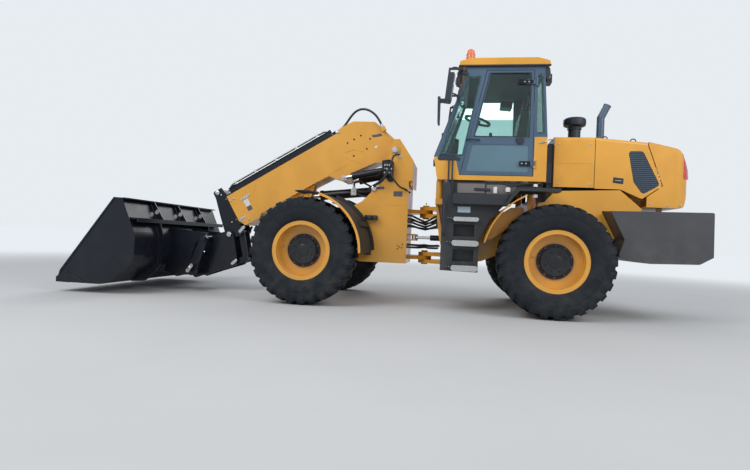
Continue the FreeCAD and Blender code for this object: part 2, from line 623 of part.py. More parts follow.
J, E = (JU, JV), (JU + S.lever_du, JV + S.lever_dv)
L = (TU + S.lever_du, TV + S.lever_dv)
lev1 = S.nose_half - 20 - S.link_gap - S.link_wall - S.link_gap        # outer face of a lever
link0, link1 = lev1 + S.link_gap, lev1 + S.link_gap + S.link_wall
lever = strap("lever_plate", J, E, 45, 40, lev1 - S.lever_wall, lev1, [(JU, JV, S.lever_pin + 0.05)])
ex, ez = boom_at(*E)
lever_bar = shaft("lever_end_pin", ex, ez, S.link_pin, -link1 - 2, link1 + 2)
node("tilt_levers", fuse("tilt_levers", [lever, mirror("lever_far", lever), lever_bar]))
link = strap("link_plate", E, L, 42, 42, link0, link1,
             [(E[0], E[1], S.link_pin + S.open_gap), (L[0], L[1], S.link_pin + 0.05)])
node("tilt_link", group("tilt_link", [link, mirror("link_far", link)]))

# Coupler: two ears on the tilt pin, a hook tube above and a lock bar below.
ear0 = S.nose_half + S.link_gap / 2
lug = (L[0] - TU) * cos(S.droop) + (L[1] - TV) * sin(S.droop), \
      -((L[0] - TU) * sin(S.droop)) + (L[1] - TV) * cos(S.droop)
ear_points = [(dim(-58), dim(20), 50), (dim(-20), dim(62), 40), (dim(200), dim(0)), (dim(300), dim(-60), 40),
              (dim(520), dim(-430), 60), (dim(546), dim(-640), 40), (dim(490), dim(-655), 30),
              (dim(216), dim(-558), 60), (lug[0] - 40, lug[1] - 44, 36), (lug[0] - 44, lug[1] + 30, 36)]
ear = plate("coupler_ear", ear_points, ear0, ear0 + S.ear_wall, frame=TILT, holes=[(0, 0, S.tilt_pin + 0.05)])
hook_tube = shaft("hook_tube", TX + S.hook_x, TZ + S.hook_z, S.hook_r, -S.coupler_half, S.coupler_half)
wing = plate("coupler_wing", [(S.hook_x, S.hook_z + 50), (S.hook_x + 60, S.hook_z - 10),
                              (dim(500), dim(-440), 50),
                              (dim(500), dim(-620), 40), (dim(400), dim(-600)), (S.hook_x - 60, S.hook_z)],
             S.coupler_half - 60, S.coupler_half - 30, frame=TILT)
lock_bar = shaft("lock_bar", TX + S.lock_x, TZ + S.lock_z, S.lock_r, -S.coupler_half - 40,
                 S.coupler_half + 40)
BK = S.coupler_half - 60 - S.link_gap - 26 - S.seat_gap
brace = plate("coupler_brace", [(dim(300), dim(-330)), (dim(325), dim(-330)), (dim(470), dim(-600)),
                                (dim(445), dim(-600))], -BK, BK, frame=TILT)
lug_bar = shaft("lug_bar", TX + lug[0] + 100, TZ + lug[1] - 20, 32, -ear0 - 2, ear0 + 2)
lgx, lgz = boom_at(*L)
lug_pin = shaft("lug_pin", lgx, lgz, S.link_pin, link0 - 2, ear0 + 2)
node("coupler", fuse("coupler", [ear, mirror("ear_far", ear), hook_tube, wing, mirror("wing_far", wing),
                                 lock_bar,
                                 brace, lug_bar, lug_pin, mirror("lug_pin_far", lug_pin)]))

# Bucket: a curved shell, two side plates, the brackets that hang it on the coupler.
R, D, t = S.bucket_reach, -S.bucket_drop, S.bucket_wall
outer = [(R, D + 3), (dim(1179), D, 300), (dim(800), dim(-420), 260), (dim(790), dim(-60), 240),
         (dim(994), dim(419)), (dim(1110), dim(424))]
inner_curve = [(dim(1110), dim(424) - t), (dim(1008), dim(419) - t), (dim(790) + t, dim(-60) - 3, 220),
               (dim(800) + t, dim(-420) + 4, 240), (dim(1179) + 6, D + t, 280), (R, D + t + 3)]
shell = plate("bucket_shell", outer + inner_curve, -S.bucket_half, S.bucket_half, frame=TILT)
cheek_pts = [(R, D + 3), (dim(1179), D, 300), (dim(800), dim(-420), 260), (dim(790), dim(-60), 240),
             (dim(994), dim(419)), (dim(1110), dim(424)), (R - 45, D + 161), (R, D + 40)]
side_plate = plate("bucket_side", cheek_pts, S.bucket_half - t, S.bucket_half, frame=TILT)
edge = plate("cutting_edge", [(R - 180, D - 0.5), (R + 0, D + 2), (R + 0, D + 26), (R - 180, D + 48)],
             -S.bucket_half, S.bucket_half, frame=TILT)
bk0 = S.coupler_half - 60 - S.link_gap - 26
hanger_pts = [(S.hook_x - 62, S.hook_z - 20, 30), (S.hook_x - 50, S.hook_z + 72, 50),
              (S.hook_x + 60, S.hook_z + 90, 40),
              (dim(800), dim(60)), (dim(840), dim(60)), (dim(850), dim(-400)), (dim(900), dim(-560)),
              (dim(700), dim(-640), 60), (S.lock_x - 40, S.lock_z - 62, 50),
              (S.lock_x - 62, S.lock_z + 40, 50),
              (S.lock_x + 60, S.lock_z + 90, 50), (S.hook_x + 130, S.hook_z - 60, 60),
              (S.hook_x + 62, S.hook_z - 20, 40), (S.hook_x + S.hook_r + 2, S.hook_z + 20),
              (S.hook_x, S.hook_z + S.hook_r + 14, 50), (S.hook_x - S.hook_r - 2, S.hook_z + 10)]
hanger = plate("bucket_hanger", hanger_pts, bk0, bk0 + 26, frame=TILT)
hanger_cut = cut("hanger_cut", cut("hanger_trim", hanger, shaft("lock_bore", TX + S.lock_x, TZ + S.lock_z,
                                                                S.lock_r + 0.4, 0, 900)),
                 shaft("hook_bore", TX + S.hook_x, TZ + S.hook_z, S.hook_r + 0.4, 0, 900))
shelf = plate("bucket_shelf", [(dim(893), dim(150)), (dim(896), dim(166)), (dim(770), dim(166)),
                               (dim(770), dim(112)),
                               (dim(786), dim(112)), (dim(786), dim(150))], -S.bucket_half + t,
                               S.bucket_half - t, frame=TILT)
lip = plate("bucket_lip", [(dim(925), dim(403)), (dim(1000), dim(403)), (dim(1000), dim(424)),
                           (dim(925), dim(419))],
            -S.bucket_half + t, S.bucket_half - t, frame=TILT)
gussets = [plate("bucket_gusset%d" % i, [(dim(775), dim(165)), (dim(894), dim(165)), (dim(994), dim(405)),
                                         (dim(926), dim(405))],
                 y - 8, y + 8, frame=TILT, holes=[(883, 272, 34)]) for i, y in enumerate((-625, 0, 625))]
ribs = [plate("bucket_rib%d" % i, [(dim(786), dim(150)), (dim(722), dim(-60), 200),
                                   (dim(730), dim(-440), 240),
                                   (dim(960), dim(-690), 120), (dim(1179), D + 4), (dim(1179), D + 14),
                                   (dim(830), dim(-440), 200),
                                   (dim(812), dim(-60), 200), (dim(893), dim(150))], y - 10, y + 10,
                                   frame=TILT)
        for i, y in enumerate((-700, 700))]
node("bucket", welded("bucket", [shell, side_plate, mirror("bucket_side_far", side_plate), edge, hanger_cut,
                                 mirror("hanger_far", hanger_cut), shelf, lip] + gussets + ribs))

# Rear frame: two long rails, a front plate with the articulation lugs, cross plates.
RF = S.rear_face
rail_points = [
    (RF - 150, S.rail_low - 76), (RF - 620, S.rail_low, 60), (REAR + 260, S.axle_seat + S.seat_gap, 60),
    (REAR - 260, S.axle_seat + S.seat_gap), (dim(-3080), S.rail_low + 140), (dim(-3080), S.rail_high - 60),
    (dim(-1150), S.rail_high - 60), (RF - 600, S.rail_high + 58, 60),
    (RF, S.rail_high + 58), (RF - 60, dim(900))]
rail = plate("rail", rail_points, S.rail_half - S.plate, S.rail_half)
inner = S.rail_half - S.plate + 1
rear_face = plate("face_plate", [(RF - 180, S.rail_low - 76), (RF - 150, S.rail_low - 76),
                                 (RF, S.rail_high + 58),
                                 (RF - 30, S.rail_high + 58)], -S.rail_half - 60, S.rail_half + 60)
gap0, gap1, low, high = S.steer_y - 95, S.steer_y + 95, S.steer_z - 75, S.steer_z + 75
face_zones = [(-gap0, gap0, 0, 2000)]
for y0, y1 in ((gap0, gap1), (-gap1, -gap0)):
    face_zones += [(y0, y1, 0, low), (y0, y1, high, 2000)]
face_zones += [(gap1, 900, 0, 2000), (-900, -gap1, 0, 2000)]
rear_face = [common("face_part%d" % i, rear_face, box("face_zone%d" % i, RF - 300, RF + 100, y0, y1, z0, z1))
             for i, (y0, y1, z0, z1) in enumerate(face_zones)]
bx = RF - S.steer_back
steer_lugs = [slab("steer_lug_r%d%d" % (i, j), [
    (bx - 50, kk * (S.rail_half - S.plate + 1)), (bx - 50, kk * (S.steer_y - 40)),
    (bx + 50, kk * (S.steer_y - 40)),
    (bx + 50, kk * (S.rail_half - S.plate + 1))], S.steer_z + dz, S.steer_z + dz + S.steer_lug)
    for i, kk in enumerate((-1, 1))
    for j, dz in enumerate((-S.steer_barrel - 2 - S.seat_gap - S.steer_lug, S.steer_barrel + 2 + S.seat_gap))]
rear_lugs = steer_lugs
for i, z in enumerate((S.hitch_low, S.hitch_high)):
    for j, dz in enumerate((-S.lug_wall - S.hitch_gap, S.lug_wall + S.hitch_gap)):
        rear_lugs.append(slab("hitch_lug_r%d%d" % (i, j), [
            (RF - 150, dim(-330)), (S.hitch_x + 10, dim(-105), 90), (S.hitch_x + 108, dim(0), 60),
            (S.hitch_x + 10, dim(105), 90), (RF - 150, dim(330))], z + dz, z + dz + S.lug_wall))
rear_pins = [post("hitch_pin%d" % i, S.hitch_x, ZERO, S.hitch_pin, z - S.lug_wall - 20,
                  z + 2 * S.lug_wall + 24) for i, z in enumerate((S.hitch_low, S.hitch_high))]
rear_cross = [
    box("seat_plate", REAR - 260, REAR + 260, -inner, inner, S.axle_seat + S.seat_gap, S.axle_seat + 40),
    box("back_plate", dim(-3080), dim(-3050), -inner, inner, S.rail_low + 130, S.rail_high - 100),
    box("cab_cross_f", RF - 95, RF - 5, -S.cab_half + 60, S.cab_half - 60, S.rail_high + 40,
        S.rail_high + 110),
    box("cab_cross_r", RF - 1240, RF - 1140, -S.cab_half + 60, S.cab_half - 60, S.rail_high - 62,
        S.rail_high + 110),
    box("cross_spine", dim(-2600), dim(-2520), -inner, inner, S.rail_high - 120, S.rail_high - 60),
    box("engine_cross_r", dim(-2480), dim(-2420), -inner, inner, S.engine_low - 60,
        S.engine_low - S.seat_gap),
    box("engine_cross_f", dim(-1800), dim(-1740), -inner, inner, S.engine_low - 60,
        S.engine_low - S.seat_gap),
    box("deck", RF - 1140, RF - 140, -S.rail_half, S.rail_half, S.rail_high - 62, S.rail_high - 40),
]
mounts = [post("cab_mount%d%d" % (i, k), x, S.cab_half * 0.8 * k, 45, S.rail_high + 109,
               S.cab_floor - S.seat_gap)
          for i, x in enumerate((RF - 50, RF - 1190)) for k in (-1, 1)]
node("rear_frame", welded("rear_frame", [rail, mirror("rail_far", rail)] + rear_face + rear_lugs + rear_pins
                          + rear_cross + mounts))

# Counterweight: one casting around the tail.
WH = S.weight_half
weight = plate("weight_block", [(dim(-2144), dim(1295)), (S.weight_rear + 6, dim(1308), 20),
                                (S.weight_rear, dim(797)),
                                (dim(-3124), dim(710), 60), (dim(-2591), dim(696)),
                                (dim(-2340), dim(719), 40),
                                (dim(-2240), dim(761), 40), (dim(-2310), dim(962), 60)], -WH, WH)
slot = box("weight_slot", dim(-3081) - 0.3, dim(-2000), -S.rail_half - 0.3, S.rail_half + 0.3, dim(500),
           dim(1400))
jaw = box("tow_jaw", S.weight_rear - 40, S.weight_rear + 150, -80, 80, 930, 1090)
tow = post("tow_bore", S.weight_rear + 75, ZERO, 24, 850, 1400)
node("counterweight", cut("counterweight", weight, fuse("weight_cuts", [slot, jaw, tow])))

# Left steps with the tank, right tank.
sx0, sx1 = RF - 95 - S.seat_gap, RF - 560
step_body = plate("step_body", [(sx0, dim(500)), (sx0, dim(1600)), (sx0 - 90, dim(1600)),
                                (sx0 - 110, dim(1450)),
                                (RF - 850, dim(1330)), (RF - 680, dim(1150)), (RF - 560, dim(900)),
                                (sx1, dim(491))],
                  S.rail_half + 61, S.cab_half + 60)
tread_cut = [box("tread_gap%d" % i, sx1 + 60, sx0 - 150, S.cab_half - 60, S.cab_half + 100, z, z + 150)
             for i, z in enumerate((620, 930, 1215))]
steps = cut("step_hollow", step_body, fuse("tread_gaps", tread_cut))
treads = [box("tread%d" % i, sx1 + 20, sx0 - 110, S.cab_half + 40, S.cab_half + 110, z - 22, z)
          for i, z in enumerate((548, 857, 1154))]
platform = plate("platform", [(dim(-1577), dim(1500)), (dim(-1100), dim(1500)), (dim(-1030), dim(1420)),
                              (dim(-970), dim(1322)),
                              (dim(-920), dim(1322)), (dim(-1000), dim(1440), 30),
                              (dim(-1075), dim(1540), 30),
                              (dim(-1577), dim(1540))], S.cab_half - 20, S.cab_half + 200)
deck_front = plate("deck_front", [(dim(-310), dim(1330)), (dim(-310), dim(1458)), (dim(-985), dim(1458)),
                                  (dim(-930), dim(1325))],
                   S.cab_half + 20, S.cab_half + 160)
valance = plate("valance", [(dim(-230), dim(1440)), (dim(-230), dim(1625)), (dim(-1390), dim(1625)),
                            (dim(-1390), dim(1480)),
                            (dim(-1090), dim(1480)), (dim(-1000), dim(1400))], S.cab_half - 59.7,
                            S.cab_half - 30)
stay_bar = box("platform_stay", dim(-1390), dim(-1340), S.cab_half - 31, S.cab_half + 20, dim(1490),
               dim(1530))
node("steps_left", fuse("steps_left", [steps, platform, deck_front, valance, stay_bar] + treads))
tank = plate("tank_right", [(sx0, dim(520), 60), (sx0, dim(1450), 60), (RF - 700, dim(1450), 60),
                            (RF - 700, dim(1250), 60),
                            (sx1, dim(900), 80), (sx1, dim(520), 60)], -S.cab_half - 60, -S.rail_half - 61)
tank_side = plate("valance_right", [(dim(-230), dim(1440)), (dim(-230), dim(1625)), (dim(-1390), dim(1625)),
                                    (dim(-1390), dim(1480)), (dim(-700), dim(1440))], -S.cab_half + 30,
                                    -S.cab_half + 59.7)
node("tank_right", fuse("tank_right", [tank, tank_side]))

# Rear mudguards with the deck panel under the hood.
rear_guard = guard("fender_r", REAR, S.hood_half + 8, S.track / 2 + 150,
                   [(dim(330), dim(480)), (dim(420), dim(1500)), (dim(1500), dim(1500)),
                    (dim(1500), dim(190)), (dim(700), dim(190))], 12,
                   S.rear_room)
arch = plate("wheel_arch", [(dim(-1567), dim(1546)), (dim(-2333), dim(1575)), (dim(-2600), dim(1345)),
                            (dim(-2560), dim(1316)),
                            (dim(-2130), dim(1312)), (dim(-2148), dim(1270)), (dim(-2296), dim(975)),
                            (dim(-2150), dim(975)),
                            (dim(-2000), dim(1100), 200), (dim(-1522), dim(1120), 300),
                            (dim(-1000), dim(1050), 200),
                            (dim(-800), dim(905)), (dim(-729), dim(905)), (dim(-760), dim(1060), 100),
                            (dim(-860), dim(1196), 100),
                            (dim(-1040), dim(1322), 60), (dim(-1190), dim(1322)), (dim(-1215), dim(1222)),
                            (dim(-1340), dim(1222)), (dim(-1370), dim(1390)), (dim(-1440), dim(1400))],
             S.hood_half + 8, S.hood_half + 20)
ledge = plate("arch_ledge", [(dim(-1567), dim(1534)), (dim(-1567), dim(1546)), (dim(-2333), dim(1575)),
                             (dim(-2333), dim(1563))],
              S.rail_half + S.seat_gap, S.hood_half + 9)
arch_legs = [box("arch_leg%d" % i, x, x + 50, S.rail_half + S.seat_gap, S.rail_half + 40, S.rail_high - 150,
                 1550)
             for i, x in enumerate((dim(-1700), dim(-2110)))]
arch_ties = [box("arch_tie", x, x + 40, S.rail_half + 39, S.hood_half + 9, z, z + 40)
             for x, z in ((dim(-1690), dim(1330)), (dim(-2100), dim(1330)))]
node("rear_fenders",
     both("rear_fenders", fuse("fender_rl", [rear_guard, arch, ledge] + arch_legs + arch_ties)))

# Cab: tub, glazed frame, roof; hollow, with the windows cut through.
CF, CR, H = S.cab_front, S.cab_rear, S.cab_half
cab_side = [(CF, S.cab_floor), (CF + 50, dim(1925)), (dim(-425), dim(2967)), (dim(-425), S.roof_low),
            (dim(-1368), S.roof_low), (CR, dim(2188)), (CR, S.cab_floor)]
p = S.cab_post
cab_in = [(CF - p, S.cab_floor + 40), (CF + 50 - p, dim(1925)), (dim(-425) - p, dim(2967)),
          (dim(-425) - p, S.roof_low + 5),
          (dim(-1368) + p, S.roof_low + 5), (CR + p, dim(2188)), (CR + p, S.cab_floor + 40)]
block = plate("cab_block", cab_side, -H, H)
void = plate("cab_void", cab_in, -H + p, H - p)
body = cut("cab_shell", block, void)
front_win = plate("win_front", [(CF - 150, dim(1960)), (CF + 200, dim(1960)), (CF + 200, dim(2930)),
                                (CF - 500, dim(2930)),
                                (CF - 500, dim(2700))], -H + 70, H - 70)
rear_win = box("win_rear", CR - 100, CR + 200, -H + 70, H - 70, dim(2250), dim(2960))
door_hole = [(dim(-381), S.sill), (dim(-668), dim(3018)), (dim(-1248), dim(3018)), (dim(-1272), S.sill)]
quarter = [(dim(-150), dim(1960)), (dim(-450), dim(2930)), (dim(-585), dim(2930)), (dim(-400), dim(1960))]
back_quarter = [(dim(-1300), dim(2250)), (dim(-1290), dim(2950)), (dim(-1335), dim(2950)),
                (dim(-1375), dim(2250))]
wins = [plate("win_door", door_hole, -H - 10, H + 10), plate("win_quarter", quarter, -H - 10, H + 10),
        plate("win_back", back_quarter, -H - 10, H + 10), front_win, rear_win]
body = cut("cab_open", body, fuse("cab_windows", wins))
low = plate("tub_zone", [(CF + 90, S.cab_floor - 10), (CF + 90, dim(1925)), (dim(-320), dim(1925)),
                         (dim(-375), S.sill - 0.1),
                         (dim(-1276), S.sill - 0.1), (dim(-1276), S.belt), (CR - 50, S.belt),
                         (CR - 50, S.cab_floor - 10)],
            -H - 20, H + 20)
tub = doc.addObject("Part::Common", "tub_common")
tub.Base, tub.Tool = body, low
frame_zone = cut("frame_zone", body, low)
roof = plate("roof_shell", [(dim(-331), S.roof_low + 0.3), (dim(-331), S.roof_low + 60, 30),
                            (dim(-480), S.roof_top, 60),
                            (dim(-1280), S.roof_top, 60), (CR, S.roof_low + 55, 30), (CR, S.roof_low + 0.3)],
             -S.roof_half, S.roof_half)
node("cab_roof", roof)
gl = S.glass
sg = S.seat_gap


def pane_on(name, p0, p1, off, thick, y0, y1, t0, t1):
    """A pane lying on the slanted line p0 to p1, kept between the shares t0 and t1 of it."""
    pts = []
    for t, x in ((t0, 0), (t0, 1), (t1, 1), (t1, 0)):
        pts.append((p0[0] + (p1[0] - p0[0]) * t + off + thick * x, p0[1] + (p1[1] - p0[1]) * t))
    return plate(name, pts, y0, y1)


front_glass = pane_on("windshield", (CF + 50, dim(1925)), (dim(-425), dim(2967)), sg * 1.2, gl, -H + 55,
                      H - 55, 0.02, 0.985)
rear_glass = pane_on("rear_glass", (CR, dim(2188)), (dim(-1368), S.roof_low), -sg * 1.2, -gl, -H + 55,
                     H - 55, 0.05, 0.9)
pane_door = [(dim(-366), S.sill - 15), (dim(-664), dim(3035)), (dim(-1256), dim(3035)),
             (dim(-1284), S.sill - 15)]
pane_quarter = [(dim(-128), dim(1945)), (dim(-437), dim(2942)), (dim(-600), dim(2942)),
                (dim(-415), dim(1945))]
pane_back = [(dim(-1312), dim(2235)), (dim(-1302), dim(2962)), (dim(-1350), dim(2962)),
             (dim(-1390), dim(2235))]
right_glass = plate("right_glass", pane_door, -H - sg - gl, -H - sg)
side_glass = [plate("quarter_glass%d" % i, pane_quarter, y, y + gl) for i,
              y in enumerate((-H - sg - gl, H + sg))]
back_glass = [plate("back_glass%d" % i, pane_back, y, y + gl) for i, y in enumerate((-H - sg - gl, H + sg))]
node("cab_glass", group("cab_glass", [front_glass, rear_glass, right_glass] + side_glass + back_glass))

# Door, hinged at its rear edge, with its own panes.
c = S.door_gap
door_out = [(dim(-381) - c, S.sill + c), (dim(-668) - c, dim(3018) - c), (dim(-1248) + c, dim(3018) - c),
            (dim(-1272) + c, S.sill + c)]
door_slab = plate("door_slab", door_out, H - 40, H)
pane_up = [(dim(-552), dim(2195), 20), (dim(-718), dim(2975), 20), (dim(-1200), dim(2975), 20),
           (dim(-1206), dim(2195), 20)]
pane_low = [(dim(-452), dim(1752), 20), (dim(-526), dim(2088), 20), (dim(-1209), dim(2088), 20),
            (dim(-1214), dim(1752), 20)]
openings = [plate("door_open%d" % i, q, H - 50, H + 10) for i, q in enumerate((pane_up, pane_low))]
hx, hy = S.door_hinge_x, H + 15
door_arms, knuckles = [], [[], []]
for i, z in enumerate((dim(1856), dim(2866))):
    door_arms += [box("hinge_arm%d" % i, dim(-1235), dim(-1150), H - 1, H + 16, z - 30, z + 30),
                  box("hinge_reach%d" % i, hx, dim(-1234), H + 3, H + 16, z - 30, z + 30),
                  post("hinge_knuckle%d" % i, hx, hy, 13, z - 30, z + 30)]
    for j, dz in enumerate((-50 - sg, 30 + sg)):
        knuckles[i] += [post("frame_knuckle%d%d" % (i, j), hx, hy, 13, z + dz, z + dz + 20),
                           box("frame_ear%d%d" % (i, j), hx - 24, hx + 1, H - 1, hy, z + dz, z + dz + 20)]
node("door_left", fuse("door_left", [cut("door_leaf", door_slab, fuse("door_opens", openings))] + door_arms))
right_post = plate("right_post", [(dim(-1180), S.sill + 1), (dim(-1160), dim(3030)),
                                  (dim(-1275), dim(3030)), (dim(-1275), S.sill + 1)],
                   -H, -H + 40)
right_rail = plate("right_rail", [(dim(-380), S.sill + 1), (dim(-490), dim(2255)), (dim(-1275), dim(2255)),
                                  (dim(-1275), S.sill + 1)],
                   -H, -H + 25)
node("cab_frame", fuse("cab_frame", [frame_zone, right_post, right_rail] + knuckles[1]))
node("cab_tub", fuse("cab_tub", [tub] + knuckles[0]))
node("door_glass", plate("door_glass", pane_up, H - 24, H - 24 + gl))
node("door_panel", plate("door_panel", pane_low, H - 24, H - 8))

# Seat, console and steering column.
seat_x = dim(-950)
floor = S.cab_floor + 40
seat_parts = [box("seat_base", seat_x - 180, seat_x + 180, -200, 200, floor + S.seat_gap, floor + 300),
              plate("seat_cushion", [(seat_x - 250, floor + 299), (seat_x + 270, floor + 299),
                                     (seat_x + 280, floor + 420, 50),
                                     (seat_x - 130, floor + 400), (seat_x - 220, floor + 980, 50),
                                     (seat_x - 330, floor + 980, 50)], -240, 240)]
node("seat", fuse("seat", seat_parts))
column = rod("column", dim(-330), ZERO, floor + 40, dim(108), 0, 870, 38)
foot = box("column_foot", dim(-400), dim(-260), -90, 90, floor + S.seat_gap, floor + 120)
wheel_ring = rod("steer_disc", dim(-330), ZERO, floor + 40, dim(108), 870, 898, 190)
wheel_hole = rod("steer_hole", dim(-330), ZERO, floor + 40, dim(108), 830, 930, 160)
spoke = rod("steer_hub", dim(-330), ZERO, floor + 40, dim(108), 866, 894, 45)
spokes = shaft("steer_spoke", dim(-330) + 884 * cos(dim(108)), floor + 40 + 884 * sin(dim(108)), 12, -175,
               175)
node("steering_column", fuse("steering_column", [column, foot, cut("steer_rim", wheel_ring, wheel_hole),
                                                 spoke, spokes]))

# Hood: fixed front section, spine and tail cap, with a gull-wing door on each side.
HF, HS, HR, HH, HT, HL = S.hood_front, S.hood_split, S.hood_rear, S.hood_half, S.hood_top, S.hood_low
k, sk_ = S.spine_half, S.skin
inside, top = (HH - 100).value, HT.value
front_out = plate("hood_block", [(HF, HL), (HF, HT), (HS + S.seat_gap, HT), (HS + S.seat_gap, HL)], -HH, HH)
front_in2 = plate("hood_void2", [(HF - sk_, HL - 10), (HF - sk_, HT - sk_), (HS - 50, HT - sk_),
                                 (HS - 50, HL - 10)],
                  -HH + sk_, HH - sk_)
legs = [box("hood_leg%d" % i, HF - 60, HF - 13, kk * (S.rail_half - 15) - 15, kk * (S.rail_half - 15) + 15,
            S.rail_high - 60 + S.seat_gap, HL + 10) for i, kk in enumerate((-1, 1))]
firewall = box("firewall", HF - 14, HF, -HH + 1, HH - 1, HL, HT - 30)
front_out = eased("hood_round", front_out, 45, lambda m: m.z > top - 2 and abs(m.y) > inside)
front_in2 = eased("hood_round_in", front_in2, 36, lambda m: m.z > top - 30 and abs(m.y) > inside)
hood_box = fuse("hood_box", [cut("hood_open", front_out, front_in2), firewall] + legs)

node("bulkhead", plate("bulkhead", [(HF - S.seat_gap + 0.6, dim(1400)), (HF - S.seat_gap + 0.6, dim(2150),
                                                                         20), (HF + 78, dim(2150), 30),
                                    (HF + 78, dim(1400))], -HH + 40, HH - 40))
spine_block = plate("hood_spine_top", [(HS, HT - sk_), (HS, HT), (dim(-2653), dim(2177)),
                                       (dim(-2653), dim(2177) - sk_)],
              -k, k)
spine = cut("spine_open", spine_block, post("exhaust_hole", dim(-2237), 0, 50 + S.seat_gap, 2000, 2400))
spine_leg = [box("spine_leg%d" % i, dim(x - 20), dim(x + 20), kk * (k - 40) - 15, kk * (k - 40) + 15,
                 S.rail_high - 60 + S.seat_gap,
                 dim(2172)) for i, (x, kk) in enumerate(((-2560, -1), (-2560, 1)))]
tail_out = plate("tail_block", [(dim(-2656), dim(2177)), (dim(-3025), dim(2090), 120),
                                (HR - 33, dim(1685), 160),
                                (dim(-3083), dim(1377), 60), (dim(-2620), dim(1377)), (dim(-2600), dim(1462)),
                                (dim(-2832), dim(1640)), (dim(-2656), dim(2130))], -HH, HH)
tail_in = plate("tail_void", [(dim(-2600), dim(2165)), (dim(-3010), dim(2076), 110),
                              (HR - 19, dim(1685), 150),
                              (dim(-3072), dim(1391), 50), (dim(-2500), dim(1391))], -HH + sk_, HH - sk_)
plan_out = slab("tail_plan", [(HR + 500, -HH - 5), (HR + 500, HH + 5), (HR + 200, HH + 5),
                              (HR + 160, HH, 200), (HR, HH - 40, 170),
                              (HR - 2, -HH + 40, 170), (HR + 160, -HH, 200), (HR + 200, -HH - 5)], 1200, 2300)
plan_in = slab("tail_plan_in", [(HR + 600, -HH - 5), (HR + 600, HH + 5), (HR + 210, HH - sk_ + 4),
                                (HR + 162, HH - sk_, 190),
                                (HR + sk_, HH - 50, 160), (HR + sk_ - 2, -HH + 50, 160),
                                (HR + 162, -HH + sk_, 190),
                                (HR + 210, -HH + sk_ - 4)], 1200, 2300)
tail_out, tail_in = common("tail_form", tail_out, plan_out), common("tail_room", tail_in, plan_in)
grille_hole = box("tail_hole", HR - 200, HR + 100, -380, 380, dim(1480), dim(1990))
tail_legs = [box("tail_leg%d" % i, dim(-2900), dim(-2840), kk * (S.rail_half - 15) - 15,
                 kk * (S.rail_half - 15) + 15,
                 S.rail_high - 60 + S.seat_gap, dim(1385)) for i, kk in enumerate((-1, 1))]
tail = fuse("tail_sum", [cut("tail_open", cut("tail_shell", tail_out, tail_in), grille_hole)] + tail_legs)
node("hood_front", group("hood_front", [hood_box, fuse("hood_spine", [spine] + spine_leg)]))
bars = [box("tail_bar%d" % i, HR + 20, HR + 60, -380 + sk_, 380 - sk_, dim(1500 + 60 * i),
            dim(1522 + 60 * i)) for i in range(8)]
uprights = [box("tail_upright%d" % i, HR + 30, HR + 50, y - 10, y + 10, dim(1480.3), dim(1989.7)) for i,
            y in enumerate((-370, -190, 0, 190, 370))]
node("hood_tail", group("hood_tail", [tail, fuse("tail_grille", bars + uprights)]))

c = S.door_gap
door_pts = [(HS - c, dim(1590)), (HS - c, HT), (dim(-2644), dim(2177)), (dim(-2644), dim(2130)),
            (dim(-2820), dim(1640), 30),
            (dim(-2594), dim(1476), 30), (dim(-2340), dim(1588), 60)]
door_block = plate("side_block", door_pts, k + S.seat_gap, HH)
door_void = plate("side_void", [(HS + 50, dim(1400)), (HS + 50, HT - sk_ + 6),
                                (dim(-2700), dim(2177) - sk_ - 6),
                                (dim(-2900), dim(1300))], k - 10, HH - sk_)
door_block = eased("side_round", door_block, 45, lambda m: m.z > 2160 and m.y > inside)
door_void = eased("side_round_in", door_void, 36, lambda m: m.z > 2120 and m.y > inside)
grille_pts = [(dim(-2420), dim(2060), 30), (dim(-2592), dim(2062), 40), (dim(-2795), dim(1650), 40),
              (dim(-2600), dim(1530), 40),
              (dim(-2491), dim(1681), 40)]
grille_cut = plate("side_grille_cut", grille_pts, HH - 40, HH + 10)
side_door = cut("side_door", cut("side_shell", door_block, door_void), grille_cut)
side_mesh = plate("side_mesh", grille_pts, HH - sk_, HH - sk_ + 5)
left = fuse("engine_door_left", [side_door, side_mesh])
node("engine_door_left", left)
node("engine_door_right", mirror("engine_door_right", left))

# Engine block, exhaust, pre-cleaner, lifting eyes.
node("engine", box("engine", dim(-2500), dim(-1680), -240, 240, S.engine_low, S.engine_high))
ex = [post("exhaust_pipe", dim(-2237), 0, 50, S.engine_high + S.seat_gap, dim(2620)),
      rod("exhaust_tip", dim(-2237), ZERO, dim(2610), dim(115), 0, 190, 50)]
node("exhaust", fuse("exhaust", ex))


def spun(name, points, x, y, z):
    """A round piece about a vertical line; points are (radius, height)."""
    body, sketch = new_body(name, "XZ_Plane")
    outline(sketch, points)
    turn = body.newObject("PartDesign::Revolution", name + "_turn")
    turn.Profile = sketch
    turn.ReferenceAxis = (sketch, ["V_Axis"])
    turn.Angle = 360
    return seat(body, x, y, z)


node("precleaner", spun("precleaner", [
    (ZERO, dim(0)), (dim(75), dim(0)), (dim(75), dim(235)), (dim(140), dim(290), 12),
    (dim(140), dim(330), 12),
    (dim(110), dim(370), 20), (ZERO, dim(378))], dim(-1903), 0, HT + S.seat_gap))

